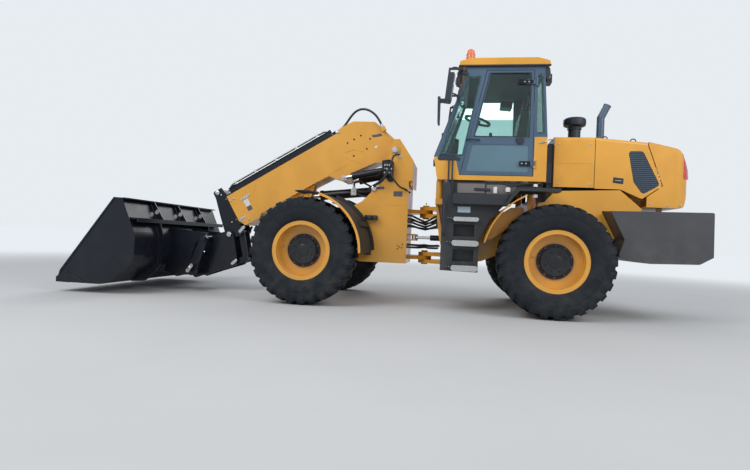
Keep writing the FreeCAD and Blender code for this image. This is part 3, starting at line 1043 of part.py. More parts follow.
# Steering cylinders, low in the articulation, one each side.
def steer(tag, sign):
    y = S.steer_y * sign
    x0, x1 = RF - S.steer_back, S.frame_rear - S.steer_fore
    z = S.steer_z
    h, h0 = S.eye_half, S.steer_barrel + 2
    eye0 = post("steer_eye_" + tag, x0, y, S.steer_barrel, z - h0, z + h0)
    tube_ = rod("steer_tube_" + tag, x0, y, z, ZERO, 20, x1 - x0 - 220, S.steer_barrel)
    bore_ = rod("steer_bore_" + tag, x0, y, z, ZERO, 45, x1 - x0 - 200, S.steer_rod + 1.5)
    stem = rod("steer_stem_" + tag, x0, y, z, ZERO, 215, x1 - x0 - 10, S.steer_rod)
    eye1 = post("steer_end_" + tag, x1, y, S.steer_rod * 1.5, z - h, z + h)
    node("steer_barrel_" + tag, cut("steer_barrel_" + tag, fuse("steer_sum_" + tag, [eye0, tube_]), bore_))
    node("steer_rod_" + tag, fuse("steer_rod_" + tag, [stem, eye1]))


steer("left", 1)
steer("right", -1)

# Lamps, beacon, mirrors.
beacon = [post("beacon_base", dim(-470), 300, 66, S.roof_top + S.seat_gap, S.roof_top + 25),
          spun("beacon_dome", [(ZERO, 0), (dim(64), 0), (dim(62), 190, 30), (dim(46), 262, 30),
                               (ZERO, 275)], dim(-470), 300, S.roof_top + 24)]
node("beacon", fuse("beacon", beacon))
lamps = []
for i, (x, y, z, along) in enumerate(((-372, 560, 2990, 1), (-1408, 560, 2960, -1))):
    body_ = box("lamp_body%d" % i, dim(x) + (0 if along > 0 else -70), dim(x) + (70 if along > 0 else 0),
                y - 75, y + 75, dim(z - 60), dim(z + 50))
    arm_ = box("lamp_arm%d" % i, dim(x) + (10 if along > 0 else -40), dim(x) + (40 if along > 0 else -10),
               y - 12, y + 12, dim(z + 40), S.roof_low - 0.0)
    lamps += [body_, arm_]
pair = fuse("lamps_l", lamps)
node("work_lamps", both("work_lamps", pair))
mirrors = []
root_low = box("mirror_root_low", dim(-343), dim(-329), S.cab_half + S.seat_gap, 940, dim(2640), dim(2664))
root_top = box("mirror_root", dim(-440), dim(-330), S.cab_half + S.seat_gap, S.cab_half + 30, dim(2955),
               dim(2990))
arm_top = box("mirror_arm", dim(-345), dim(-215), 915, 940, dim(2975), dim(2999))
reach_top = box("mirror_reach", dim(-360), dim(-330), S.cab_half + 29, 940, dim(2970), dim(2990))
stem_ = plate("mirror_stem", [(dim(-225), dim(2999)), (dim(-200), dim(2999)), (dim(-158), dim(2560)),
                              (dim(-180), dim(2560))], 918, 938)
low_arm = box("mirror_low_arm", dim(-325), dim(-172), 920, 940, dim(2642), dim(2662))
head_ = plate("mirror_head", [(dim(-277), dim(2905), 20), (dim(-208), dim(2905), 20),
                              (dim(-168), dim(2575), 20), (dim(-237), dim(2566), 20)],
              860, 1060)
m2_arm = box("mirror2_arm", dim(-180), dim(-95), 925, 1060, dim(2562), dim(2584))
m2_head = plate("mirror2_head", [(dim(-118), dim(2590), 10), (dim(-84), dim(2590), 10),
                                 (dim(-92), dim(2270), 10), (dim(-118), dim(2270), 10)],
                985, 1135)
node("mirrors", both("mirrors", fuse("mirror_l", [root_low, root_top, arm_top, reach_top, stem_, low_arm,
                                                  head_, m2_arm, m2_head])))

# Hose looped from the telescope's rear end over the boom head and down its left side.
HOSE = [(632, 60, 712), (532, 66, 716), (430, 84, 752), (330, 122, 792), (228, 172, 808), (130, 214, 778),
        (52, 232, 700), (8, 236, 596), (0, 236, 490), (4, 236, 400)]


def hose(name, route, radius):
    pts = []
    for u, y, v in route:
        x, z = boom_at(u, v)
        pts.append(Vector((x + SHIFT).value, y, z.value))
    edges, here = [], pts[0]
    length = 0
    for a, v, b in zip(pts, pts[1:], pts[2:]):
        i, o = (v - a), (b - v)
        li, lo = i.Length, o.Length
        i, o = i.normalize(), o.normalize()
        turn = i.getAngle(o)
        r = 0.45 * min(li, lo) / math.tan(turn / 2)
        back = r * math.tan(turn / 2)
        p1, p2 = v - i * back, v + o * back
        bis = (o - i).normalize()
        mid = v + bis * (r / math.cos(turn / 2) - r)
        edges += [Part.LineSegment(here, p1).toShape(), Part.Arc(p1, mid, p2).toShape()]
        length += (p1 - here).Length + r * turn
        here = p2
        print(name, "radius", round(r))
    edges.append(Part.LineSegment(here, pts[-1]).toShape())
    length += (pts[-1] - here).Length
    wire = Part.Wire(edges)
    ring = Part.Wire(Part.Circle(pts[0], pts[1] - pts[0], radius).toShape())
    solid = wire.makePipeShell([ring], True, False)
    f = doc.addObject("Part::Feature", name)
    f.Shape = solid
    print(name, "volume ratio", solid.Volume / (math.pi * radius ** 2 * length), "length", round(length))
    return f


node("boom_hose", hose("boom_hose", HOSE, S.hose_radius.value))

doc.recompute()
for obj in doc.Objects:
    if "Invalid" in obj.State or "Error" in obj.State:
        raise RuntimeError("failed: %s %s" % (obj.Name, obj.State))
os.makedirs("parts", exist_ok=True)
for name, obj in NODES:
    if obj.Shape.isNull() or not obj.Shape.isValid() or not obj.Shape.Solids:
        raise RuntimeError("bad shape: " + name)
    obj.Shape.exportStep("parts/%s.step" % name)
print(len(NODES), "nodes")
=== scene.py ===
"""Articulated loader with a telescopic boom and a bucket: finishes, small parts, light and camera.

The CAD model gives every main form. This script adds what a drawing office leaves to the paint shop
and the fitters: tyre treads, fasteners, hoses, lenses, trim, weathered paint.
Drawing sizes are millimetres: x forward from the middle of the wheelbase, y to the left, z up from the floor.
The frame and every mesh are in metres.
"""
import json
import math

import bpy
import bmesh
from mathutils import Matrix, Vector


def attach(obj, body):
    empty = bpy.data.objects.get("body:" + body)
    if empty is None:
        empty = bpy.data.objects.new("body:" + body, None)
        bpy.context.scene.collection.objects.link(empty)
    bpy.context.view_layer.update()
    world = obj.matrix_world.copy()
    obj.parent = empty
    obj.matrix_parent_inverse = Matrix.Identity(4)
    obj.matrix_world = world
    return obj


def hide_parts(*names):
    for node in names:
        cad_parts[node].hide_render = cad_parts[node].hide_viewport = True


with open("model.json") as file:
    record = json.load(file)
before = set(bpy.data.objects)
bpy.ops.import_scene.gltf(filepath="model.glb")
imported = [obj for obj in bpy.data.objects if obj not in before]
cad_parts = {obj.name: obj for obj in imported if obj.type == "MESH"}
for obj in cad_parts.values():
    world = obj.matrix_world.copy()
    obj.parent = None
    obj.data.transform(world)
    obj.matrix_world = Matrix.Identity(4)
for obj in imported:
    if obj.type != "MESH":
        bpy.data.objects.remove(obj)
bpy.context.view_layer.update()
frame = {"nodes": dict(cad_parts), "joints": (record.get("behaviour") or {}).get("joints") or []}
nodes = frame["nodes"]

joints = {joint["name"]: joint for joint in frame["joints"]}

MM = 0.001
hub_x, hub_y, hub_z = joints["wheel_fl"]["pos_m"]
DATUM = (hub_x + joints["wheel_rl"]["pos_m"][0]) / 2  # the middle of the wheelbase, in the frame
AXLE_X, HALF_TRACK, AXLE_Z = (hub_x - DATUM) / MM, hub_y / MM, hub_z / MM


def drawn(joint):
    """A joint's place in the side view, in drawing millimetres."""
    x, _, z = joints[joint]["pos_m"]
    return (x - DATUM) / MM, z / MM


PIVOT = drawn("boom_lift")
TILT = drawn("bucket_tilt")
LIFT_PIN = drawn("lift_barrel_turn")
slide = joints["telescope"]["axis"]
DROOP = math.atan2(-slide[2], slide[0])  # the boom points down by this angle


def at(x, y, z):
    """A place on the machine, drawing millimetres to metres."""
    return Vector((x * MM + DATUM, y * MM, z * MM))


def on_boom(u, y, v):
    """A place on the boom: u along it from the pivot, v above its pivot line."""
    c, s = math.cos(DROOP), math.sin(DROOP)
    return at(PIVOT[0] + u * c + v * s, y, PIVOT[1] - u * s + v * c)


def at_tool(u, y, v):
    """A place on the coupler and bucket, from the tilt pin."""
    return at(TILT[0] + u, y, TILT[1] + v)


# The photograph's camera, fitted to the four wheels: place in metres, angles in degrees, width and focal
# length in pixels.
STATION = (-0.336 + DATUM, 7.312, 0.852)
YAW, PITCH, ROLL = 8.66, 0.46, 2.36
PHOTO_WIDTH, FOCAL_LENGTH = 750.0, 515.0
FILM_WIDTH = 36.0


def aim_camera():
    yaw, pitch, roll = (math.radians(a) for a in (YAW, PITCH, ROLL))
    right = Vector((-1, 0, 0))
    ahead = Vector((0, -1, 0))
    up = Vector((0, 0, 1))
    look = math.cos(yaw) * ahead - math.sin(yaw) * right
    side = math.cos(yaw) * right + math.sin(yaw) * ahead
    view = math.cos(pitch) * look + math.sin(pitch) * up
    head = math.cos(pitch) * up - math.sin(pitch) * look
    x_axis = math.cos(roll) * side + math.sin(roll) * head
    y_axis = math.cos(roll) * head - math.sin(roll) * side
    optics = bpy.data.cameras.new("camera")
    optics.sensor_width = FILM_WIDTH
    optics.lens = FILM_WIDTH * FOCAL_LENGTH / PHOTO_WIDTH
    optics.clip_end = 200.0
    camera = bpy.data.objects.new("camera", optics)
    turn = Matrix((x_axis, y_axis, -view)).transposed().to_4x4()
    camera.matrix_world = Matrix.Translation(STATION) @ turn
    bpy.context.scene.collection.objects.link(camera)
    bpy.context.scene.camera = camera


aim_camera()


# Shader building blocks.
class Graph:
    """Adds nodes to a node tree and joins them."""

    def __init__(self, tree):
        self.tree = tree

    def add(self, kind, inputs=None, **settings):
        node = self.tree.nodes.new(kind)
        for key, value in settings.items():
            setattr(node, key, value)
        for key, value in (inputs or {}).items():
            self.feed(node, key, value)
        return node

    def feed(self, node, key, value):
        socket = node.inputs[key]
        if isinstance(value, bpy.types.NodeSocket):
            self.tree.links.new(value, socket)
        elif isinstance(value, bpy.types.Node):
            self.tree.links.new(value.outputs[0], socket)
        else:
            socket.default_value = value

    def math(self, operation, a, b=None, clamp=False):
        node = self.add("ShaderNodeMath", operation=operation, use_clamp=clamp)
        self.feed(node, 0, a)
        if b is not None:
            self.feed(node, 1, b)
        return node.outputs[0]

    def ramp(self, value, low, high, start=0.0, end=1.0):
        node = self.add("ShaderNodeMapRange", clamp=True, interpolation_type="SMOOTHSTEP")
        for key, given in (("Value", value), ("From Min", low), ("From Max", high), ("To Min", start),
                ("To Max", end)):
            self.feed(node, key, given)
        return node.outputs[0]

    def noise(self, vector, scale, detail=4.0, rough=0.55):
        node = self.add("ShaderNodeTexNoise", {"Vector": vector, "Scale": scale, "Detail": detail,
                "Roughness": rough})
        return node.outputs["Fac"]

    def blend(self, amount, a, b):
        node = self.add("ShaderNodeMix", data_type="RGBA")
        self.feed(node, 0, amount)
        self.feed(node, 6, a)
        self.feed(node, 7, b)
        return node.outputs[2]


def socket_group(name, ins, outs):
    """A shader group with its sockets, ready to be filled."""
    group = bpy.data.node_groups.new(name, "ShaderNodeTree")
    for title, kind, value in ins:
        item = group.interface.new_socket(title, in_out="INPUT", socket_type=kind)
        if value is not None:
            item.default_value = value
    for title, kind in outs:
        group.interface.new_socket(title, in_out="OUTPUT", socket_type=kind)
    graph = Graph(group)
    return group, graph, graph.add("NodeGroupInput"), graph.add("NodeGroupOutput")


def build_yard_dust():
    """Dust that settles low down and on ledges, and faint cloudiness of a sprayed coat."""
    group, g, given, result = socket_group(
        "yard_dust",
        [("Vector", "NodeSocketVector", None), ("Low", "NodeSocketFloat", 0.5),
            ("Ledges", "NodeSocketFloat", 0.4),
            ("Grain", "NodeSocketFloat", 5.0)],
        [("Dust", "NodeSocketFloat"), ("Cloud", "NodeSocketFloat"), ("Peel", "NodeSocketFloat")])
    place = g.add("ShaderNodeSeparateXYZ", {0: given.outputs["Vector"]})
    facing = g.add("ShaderNodeSeparateXYZ", {0: g.add("ShaderNodeNewGeometry").outputs["Normal"]})
    patches = g.noise(given.outputs["Vector"], given.outputs["Grain"], 6.0, 0.62)
    specks = g.noise(given.outputs["Vector"], 90.0, 3.0, 0.7)
    low = g.math("MULTIPLY", g.ramp(place.outputs["Z"], 1.5, 0.15), given.outputs["Low"])
    ledge = g.math("MULTIPLY", g.ramp(facing.outputs["Z"], 0.35, 0.95), given.outputs["Ledges"])
    amount = g.math("MULTIPLY", g.math("ADD", low, ledge), g.ramp(patches, 0.35, 0.7))
    amount = g.math("MULTIPLY", amount, g.ramp(specks, 0.25, 0.65, 0.55, 1.0), clamp=True)
    g.feed(result, "Dust", amount)
    g.feed(result, "Cloud", g.noise(given.outputs["Vector"], 1.7, 3.0))
    g.feed(result, "Peel", g.noise(given.outputs["Vector"], 260.0, 2.0))
    return group


def build_handling_wear():
    """Rub marks: short scratches in two directions and worn patches."""
    group, g, given, result = socket_group(
        "handling_wear",
        [("Vector", "NodeSocketVector", None), ("Amount", "NodeSocketFloat", 0.3),
            ("Scale", "NodeSocketFloat", 14.0)],
        [("Bare", "NodeSocketFloat"), ("Scratch", "NodeSocketFloat")])
    lines = []
    for turn in ((0.3, 0.9, 0.1), (1.1, -0.4, 0.6)):
        mapping = g.add("ShaderNodeMapping", {"Vector": given.outputs["Vector"]})
        mapping.inputs["Rotation"].default_value = turn
        mapping.inputs["Scale"].default_value = (1.0, 22.0, 22.0)
        lines.append(g.ramp(g.noise(mapping.outputs[0], given.outputs["Scale"], 2.0, 0.5), 0.66, 0.74))
    scratch = g.math("MAXIMUM", lines[0], lines[1])
    patch = g.ramp(g.noise(given.outputs["Vector"], 4.0, 5.0, 0.7), 0.52, 0.68)
    mark = g.math("MULTIPLY", g.math("MULTIPLY", scratch, patch), given.outputs["Amount"])
    g.feed(result, "Scratch", mark)
    g.feed(result, "Bare", g.math("MULTIPLY", g.ramp(patch, 0.8, 1.0), given.outputs["Amount"]))
    return group


YARD_DUST = build_yard_dust()
HANDLING = build_handling_wear()
DUST_COLOUR = (0.36, 0.33, 0.29, 1)


def blank_finish(name):
    """A new material with its graph, its shader and the place on the object."""
    finish = bpy.data.materials.new(name)
    finish.use_nodes = True
    graph = Graph(finish.node_tree)
    shader = finish.node_tree.nodes["Principled BSDF"]
    where = graph.add("ShaderNodeTexCoord").outputs["Object"]
    return finish, graph, shader, where


def enamel(name, colour, rough=0.35, low=0.35, ledges=0.2, coat=0.25, wear=0.0, cloud=0.06, shine=0.5):
    """Sprayed enamel over steel, with dust, cloudiness and, where it is handled, scratches."""
    finish, g, shader, where = blank_finish(name)
    dust = g.add("ShaderNodeGroup", node_tree=YARD_DUST)
    for key, value in (("Vector", where), ("Low", low), ("Ledges", ledges)):
        g.feed(dust, key, value)
    deep = tuple(c * (1 - cloud) for c in colour[:3]) + (1,)
    pale = tuple(min(1, c * (1 + cloud)) for c in colour[:3]) + (1,)
    base = g.blend(g.ramp(dust.outputs["Cloud"], 0.35, 0.65), deep, pale)
    rub = g.add("ShaderNodeGroup", node_tree=HANDLING)
    for key, value in (("Vector", where), ("Amount", wear)):
        g.feed(rub, key, value)
    base = g.blend(rub.outputs["Scratch"], base, (0.36, 0.35, 0.34, 1))
    base = g.blend(dust.outputs["Dust"], base, DUST_COLOUR)
    g.feed(shader, "Base Color", base)
    g.feed(shader, "Roughness", g.math("ADD", g.math("MULTIPLY", dust.outputs["Dust"], 0.45),
            g.ramp(dust.outputs["Cloud"], 0.3, 0.7, rough * 0.85, rough * 1.15), clamp=True))
    bump = g.add("ShaderNodeBump", {"Strength": 0.06, "Distance": 0.002,
            "Height": g.math("SUBTRACT", dust.outputs["Peel"], rub.outputs["Scratch"])})
    g.feed(shader, "Normal", bump)
    shader.inputs["Coat Weight"].default_value = coat
    shader.inputs["Coat Roughness"].default_value = 0.12
    shader.inputs["Specular IOR Level"].default_value = shine
    return finish


def bare_metal(name, colour, rough=0.25, brushed=60.0):
    """Turned, plated or polished steel."""
    finish, g, shader, where = blank_finish(name)
    dust = g.add("ShaderNodeGroup", node_tree=YARD_DUST)
    for key, value in (("Vector", where), ("Low", 0.15), ("Ledges", 0.2)):
        g.feed(dust, key, value)
    tone = g.noise(where, brushed, 4.0, 0.6)
    dark = tuple(c * 0.8 for c in colour) + (1,)
    g.feed(shader, "Base Color", g.blend(dust.outputs["Dust"], g.blend(tone, dark, tuple(colour) + (1,)),
            DUST_COLOUR))
    g.feed(shader, "Roughness", g.ramp(tone, 0.3, 0.7, rough * 0.7, rough * 1.4))
    g.feed(shader, "Metallic", g.ramp(dust.outputs["Dust"], 0.0, 0.6, 1.0, 0.3))
    g.feed(shader, "Normal", g.add("ShaderNodeBump", {"Strength": 0.04, "Distance": 0.001, "Height": tone}))
    return finish


def moulded(name, colour, rough=0.6, grain=420.0, dusty=0.3, height=0.15, shine=0.5):
    """Moulded rubber or plastic with a fine grain."""
    finish, g, shader, where = blank_finish(name)
    dust = g.add("ShaderNodeGroup", node_tree=YARD_DUST)
    for key, value in (("Vector", where), ("Low", dusty), ("Ledges", dusty * 0.6), ("Grain", 7.0)):
        g.feed(dust, key, value)
    pores = g.add("ShaderNodeTexVoronoi", {"Vector": where, "Scale": grain}).outputs["Distance"]
    shade = g.blend(g.ramp(dust.outputs["Cloud"], 0.3, 0.7), tuple(c * 0.85 for c in colour) + (1,),
        tuple(colour) + (1,))
    g.feed(shader, "Base Color", g.blend(dust.outputs["Dust"], shade, DUST_COLOUR))
    g.feed(shader, "Roughness", g.math("ADD", g.ramp(pores, 0.0, 0.8, rough, rough * 1.1),
            g.math("MULTIPLY", dust.outputs["Dust"], 0.3), clamp=True))
    g.feed(shader, "Normal", g.add("ShaderNodeBump", {"Strength": height, "Distance": 0.001,
            "Height": pores}))
    shader.inputs["Specular IOR Level"].default_value = shine
    return finish


def pane(name, tint, rough=0.02):
    """Tinted glazing with a few wiped smears."""
    finish, g, shader, where = blank_finish(name)
    smear = g.noise(where, 3.0, 5.0, 0.6)
    g.feed(shader, "Roughness", g.ramp(smear, 0.5, 0.8, rough, rough + 0.05))
    shader.inputs["Base Color"].default_value = tint
    shader.inputs["Transmission Weight"].default_value = 1.0
    shader.inputs["IOR"].default_value = 1.45
    return finish


def lens(name, colour):
    """A coloured lamp lens with moulded flutes."""
    finish, g, shader, where = blank_finish(name)
    waves = g.add("ShaderNodeTexWave", {"Vector": where, "Scale": 55.0, "Distortion": 0.0},
        bands_direction="Z").outputs["Fac"]
    g.feed(shader, "Base Color", g.blend(waves, tuple(c * 0.8 for c in colour) + (1,), tuple(colour) + (1,)))
    g.feed(shader, "Normal", g.add("ShaderNodeBump", {"Strength": 0.35, "Distance": 0.002, "Height": waves}))
    shader.inputs["Roughness"].default_value = 0.12
    shader.inputs["Coat Weight"].default_value = 0.6
    shader.inputs["Subsurface Weight"].default_value = 0.15
    return finish


YELLOW = enamel("loader_yellow", (0.68, 0.32, 0.032, 1), rough=0.34, low=0.14, ledges=0.08, coat=0.35)
# Black paint whose blue cast is a painted sky reflection on the glossy coat.
BLACK = enamel("implement_black_with_painted_sheen", (0.0065, 0.0085, 0.0145, 1), rough=0.3, low=0.02, ledges=0.02, coat=0.1,
    wear=0.1, shine=0.3)
GREY = enamel("chassis_grey", (0.05, 0.052, 0.057, 1), rough=0.46, low=0.16, ledges=0.14, coat=0.08,
    wear=0.15)
# Partly the cab's own dark paint, partly painted haze light that makes it bluer and lighter.
CAB_GREY = enamel("cab_paint_and_painted_haze", (0.056, 0.1, 0.155, 1), rough=0.4, low=0.1, ledges=0.1, coat=0.15)
FRAME_GREY = enamel("frame_slate", (0.028, 0.032, 0.037, 1), rough=0.46, low=0.14, ledges=0.14, coat=0.05,
    wear=0.1, shine=0.35)
# The lower door pane is glass drawn as opaque enamel: its blue-grey is the pane's dark tint together with a
# painted sky reflection.
LOWER_PANE_TINT_AND_REFLECTION = enamel("lower_pane_tint_and_reflection", (0.095, 0.175, 0.225, 1), rough=0.3, low=0.1, ledges=0.05, coat=0.3)
CAST = enamel("axle_casting", (0.055, 0.055, 0.058, 1), rough=0.62, low=0.5, ledges=0.4, coat=0.0,
    cloud=0.15)
HUB = enamel("hub_black", (0.012, 0.014, 0.018, 1), rough=0.42, low=0.05, ledges=0.05, coat=0.05, shine=0.35)
CHROME = bare_metal("rod_chrome", (0.82, 0.83, 0.85), 0.12)
ZINC = bare_metal("zinc_plate", (0.66, 0.66, 0.64), 0.32)
TREAD = moulded("tyre_rubber", (0.013, 0.0165, 0.0215), 0.7, 300.0, 0.07, 0.25, 0.22)
PLASTIC = moulded("moulded_black", (0.018, 0.026, 0.04), 0.45, 700.0, 0.06)
HOSE = moulded("hose_rubber", (0.02, 0.02, 0.022), 0.45, 900.0, 0.1)
VINYL = moulded("seat_vinyl", (0.03, 0.03, 0.034), 0.55, 260.0, 0.05, 0.3)
GLASS = pane("cab_glass_tint", (0.62, 0.84, 0.80, 1))
AMBER = lens("beacon_lens", (0.8, 0.22, 0.1))
RED = lens("tail_lens", (0.55, 0.02, 0.02))
CLEAR = lens("lamp_lens", (0.8, 0.8, 0.8))
RUBBER = moulded("seal_rubber", (0.015, 0.015, 0.016), 0.6, 800.0, 0.08)
LABEL_DARK = enamel("label_dark", (0.07, 0.07, 0.09, 1), rough=0.5, low=0.1, ledges=0.1, coat=0.1)
LABEL_PALE = enamel("label_pale", (0.62, 0.60, 0.62, 1), rough=0.45, low=0.1, ledges=0.1, coat=0.1)
LABEL_GREY = enamel("service_grey", (0.17, 0.15, 0.14, 1), rough=0.5, low=0.1, ledges=0.1, coat=0.1)
LABEL_BLUE = enamel("label_blue", (0.42, 0.52, 0.62, 1), rough=0.4, low=0.1, ledges=0.1, coat=0.2)
PALE = moulded("cap_white", (0.78, 0.77, 0.74), 0.4, 500.0, 0.1)
RED_HOSE = moulded("hose_red", (0.42, 0.07, 0.04), 0.5, 600.0, 0.1)
WORN = bare_metal("worn_steel", (0.12, 0.12, 0.125), 0.5, 30.0)
MIRROR = bare_metal("mirror_silver", (0.85, 0.86, 0.88), 0.03)

FINISHES = {
    YELLOW: "rim_fl rim_fr rim_rl rim_rr front_frame outer_boom rear_frame rear_fenders cab_tub "
            "cab_roof hood_front hood_tail engine_door_left engine_door_right",
    BLACK: "inner_boom lift_barrel levelling_barrels tilt_levers tilt_link coupler bucket telescope_barrel "
    "steer_barrel_left steer_barrel_right",
    CHROME: "telescope_rod lift_rod levelling_rods steer_rod_left steer_rod_right",
    GREY: "counterweight",
    FRAME_GREY: "steps_left tank_right bulkhead",
    CAB_GREY: "cab_frame door_left exhaust precleaner",
    # lower door pane: its dark tint with a painted reflection
    LOWER_PANE_TINT_AND_REFLECTION: "door_panel",
    CAST: "front_axle rear_axle engine",
    HUB: "hub_fl hub_fr hub_rl hub_rr",
    GLASS: "cab_glass door_glass",
    VINYL: "seat",
    PLASTIC: "steering_column work_lamps mirrors",
    RUBBER: "front_fenders",
    AMBER: "beacon",
    TREAD: "tyre_fl tyre_fr tyre_rl tyre_rr",
}
for finish, names in FINISHES.items():
    for name in names.split():
        mesh = nodes[name].data
        mesh.materials.clear()
        mesh.materials.append(finish)


# Floor, sky and lamps. The floor fades into the backdrop between the two haze distances, in metres.
FLOOR_REACH = 150.0
HAZE_NEAR, HAZE_FAR = 4.5, 16.0
BACKDROP = (0.80, 0.84, 0.88, 1)
SKYLIGHT = (0.86, 0.92, 1.0, 1)
AIM = Vector((0, 0, 1.2))
# columns: name, place, width in metres, power in watts
LAMPS = (
    ("key_lamp", (5.0, 8.0, 8.5), 6.0, 620.0),
    ("tail_lamp", (-8.0, 6.0, 6.5), 6.0, 420.0),
    ("back_lamp", (0.0, -9.0, 8.0), 7.0, 380.0),
)


def light_the_sky(scene):
    """A pale backdrop where the camera sees it, a dimmer blue light elsewhere."""
    world = bpy.data.worlds.new("yard_sky")
    scene.world = world
    world.use_nodes = True
    g = Graph(world.node_tree)
    back = world.node_tree.nodes["Background"]
    ray = g.add("ShaderNodeLightPath")
    seen = g.math("MAXIMUM", ray.outputs["Is Camera Ray"], ray.outputs["Is Transmission Ray"])
    g.feed(back, "Color", g.blend(seen, SKYLIGHT, BACKDROP))
    g.feed(back, "Strength", g.add("ShaderNodeMapRange", {"Value": seen, "To Min": 0.62, "To Max": 1.0}))


def lay_floor(scene):
    mesh = bpy.data.meshes.new("yard_floor")
    corners = [(x * FLOOR_REACH, y * FLOOR_REACH, 0) for x, y in ((-1, -1), (1, -1), (1, 1), (-1, 1))]
    mesh.from_pydata(corners, [], [(0, 1, 2, 3)])
    floor = bpy.data.objects.new("yard_floor", mesh)
    scene.collection.objects.link(floor)
    pale, g, shader, where = blank_finish("pale_floor")
    reach = g.add("ShaderNodeVectorMath", {0: where}, operation="LENGTH").outputs["Value"]
    haze = g.ramp(reach, HAZE_NEAR, HAZE_FAR)
    near = g.blend(g.noise(where, 0.8, 6.0), (0.50, 0.50, 0.50, 1), (0.56, 0.56, 0.555, 1))
    g.feed(shader, "Base Color", g.blend(haze, near, (0, 0, 0, 1)))
    g.feed(shader, "Emission Color", g.blend(haze, (0.5, 0.5, 0.5, 1), BACKDROP))
    g.feed(shader, "Emission Strength", g.math("MULTIPLY", haze, 0.97))
    shader.inputs["Specular IOR Level"].default_value = 0.15
    shader.inputs["Roughness"].default_value = 0.8
    mesh.materials.append(pale)


def hang_lamps(scene):
    for title, place, width, power in LAMPS:
        data = bpy.data.lights.new(title, "AREA")
        data.energy, data.size = power, width
        lamp = bpy.data.objects.new(title, data)
        lamp.location = place
        lamp.rotation_euler = (AIM - Vector(place)).to_track_quat("-Z", "Y").to_euler()
        scene.collection.objects.link(lamp)


bpy.context.scene.view_settings.view_transform = "Standard"
for step in (light_the_sky, lay_floor, hang_lamps):
    step(bpy.context.scene)


def angles(count, shift=0.0):
    """Equal turns round a circle, in radians, the first one shifted by a share of a turn."""
    return [2 * math.pi * (k + shift) / count for k in range(count)]


# Mesh building.
class Shape:
    """Collects closed solids into one piece, in metres."""

    def __init__(self):
        self.mesh = bmesh.new()

    def skin(self, rings, closed_ends=True):
        """Joins rings of points, each with the same count, into a tube."""
        rows = [[self.mesh.verts.new(p) for p in ring] for ring in rings]
        for row, after in zip(rows, rows[1:]):
            for i in range(len(row)):
                j = (i + 1) % len(row)
                self.mesh.faces.new((row[i], row[j], after[j], after[i]))
        if closed_ends:
            self.mesh.faces.new(rows[0])
            self.mesh.faces.new(tuple(reversed(rows[-1])))

    def prism(self, outline, low, high, put=at):
        """A plate: an outline in the side view, between two distances from the middle."""
        self.skin([[put(a, y, b) for a, b in outline] for y in (low, high)])

    def turned(self, centre, along, profile, steps=32):
        """A solid of revolution: profile holds (distance along the axis, radius) in mm."""
        along = Vector(along).normalized()
        side = along.orthogonal().normalized()
        other = along.cross(side)
        rings = []
        for reach, radius in profile:
            middle = centre + along * reach * MM
            rings.append([middle + (side * math.cos(a) + other * math.sin(a)) * radius * MM
                    for a in angles(steps)])
        self.skin(rings)

    def rod(self, start, end, radius, steps):
        """A round bar between two places."""
        self.turned(start, end - start, [(0, radius), ((end - start).length / MM, radius)], steps)

    def bent(self, points, radius, steps=10, sweep=4):
        """A bent pipe through points, its corners rounded over up to four radii."""
        path = [points[0]]
        for before, corner, after in zip(points, points[1:], points[2:]):
            reach = min(radius * MM * 4, (before - corner).length * 0.45, (after - corner).length * 0.45)
            start = corner + (before - corner).normalized() * reach
            end = corner + (after - corner).normalized() * reach
            for k in range(sweep + 1):
                t = k / sweep
                path.append(start * (1 - t) ** 2 + corner * 2 * t * (1 - t) + end * t * t)
        path.append(points[-1])
        rings, side = [], None
        for i, place in enumerate(path):
            ahead = (path[min(i + 1, len(path) - 1)] - path[max(i - 1, 0)]).normalized()
            side = ahead.orthogonal() if side is None else side - ahead * side.dot(ahead)
            side.normalize()
            other = ahead.cross(side)
            rings.append([place + (side * math.cos(a) + other * math.sin(a)) * radius * MM
                    for a in angles(steps)])
        self.skin(rings)

    def done(self, name, body, finish, soften=0.0, smooth=35.0):
        """Turns the collected solids into an object that rides on a body."""
        bmesh.ops.recalc_face_normals(self.mesh, faces=self.mesh.faces)
        mesh = bpy.data.meshes.new(name)
        self.mesh.to_mesh(mesh)
        self.mesh.free()
        return fit(mesh, name, body, finish, soften, smooth)


def fit(mesh, name, body, finish, soften=0.0, smooth=35.0, instead_of=()):
    """Puts a mesh in the scene with its finish, its body and edges softened by so many mm."""
    piece = bpy.data.objects.new(name, mesh)
    bpy.context.scene.collection.objects.link(piece)
    if finish is not None:
        mesh.materials.clear()
        mesh.materials.append(finish)
    mesh.shade_smooth()
    mesh.set_sharp_from_angle(angle=math.radians(smooth))
    if soften:
        edge = piece.modifiers.new("edges", "BEVEL")
        edge.width, edge.segments, edge.limit_method = soften * MM, 2, "ANGLE"
        edge.angle_limit = math.radians(40)
        edge.harden_normals = False
    if instead_of:
        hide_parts(*instead_of)
    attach(piece, body)
    return piece


# Repeats, by node trees.
def node_tree(name, inputs):
    """A geometry tree with its sockets, ready to be filled."""
    tree = bpy.data.node_groups.new(name, "GeometryNodeTree")
    tree.interface.new_socket("Geometry", in_out="INPUT", socket_type="NodeSocketGeometry")
    for title, kind, value in inputs:
        item = tree.interface.new_socket(title, in_out="INPUT", socket_type=kind)
        if value is not None:
            item.default_value = value
    tree.interface.new_socket("Geometry", in_out="OUTPUT", socket_type="NodeSocketGeometry")
    graph = Graph(tree)
    return tree, graph, graph.add("NodeGroupInput"), graph.add("NodeGroupOutput")


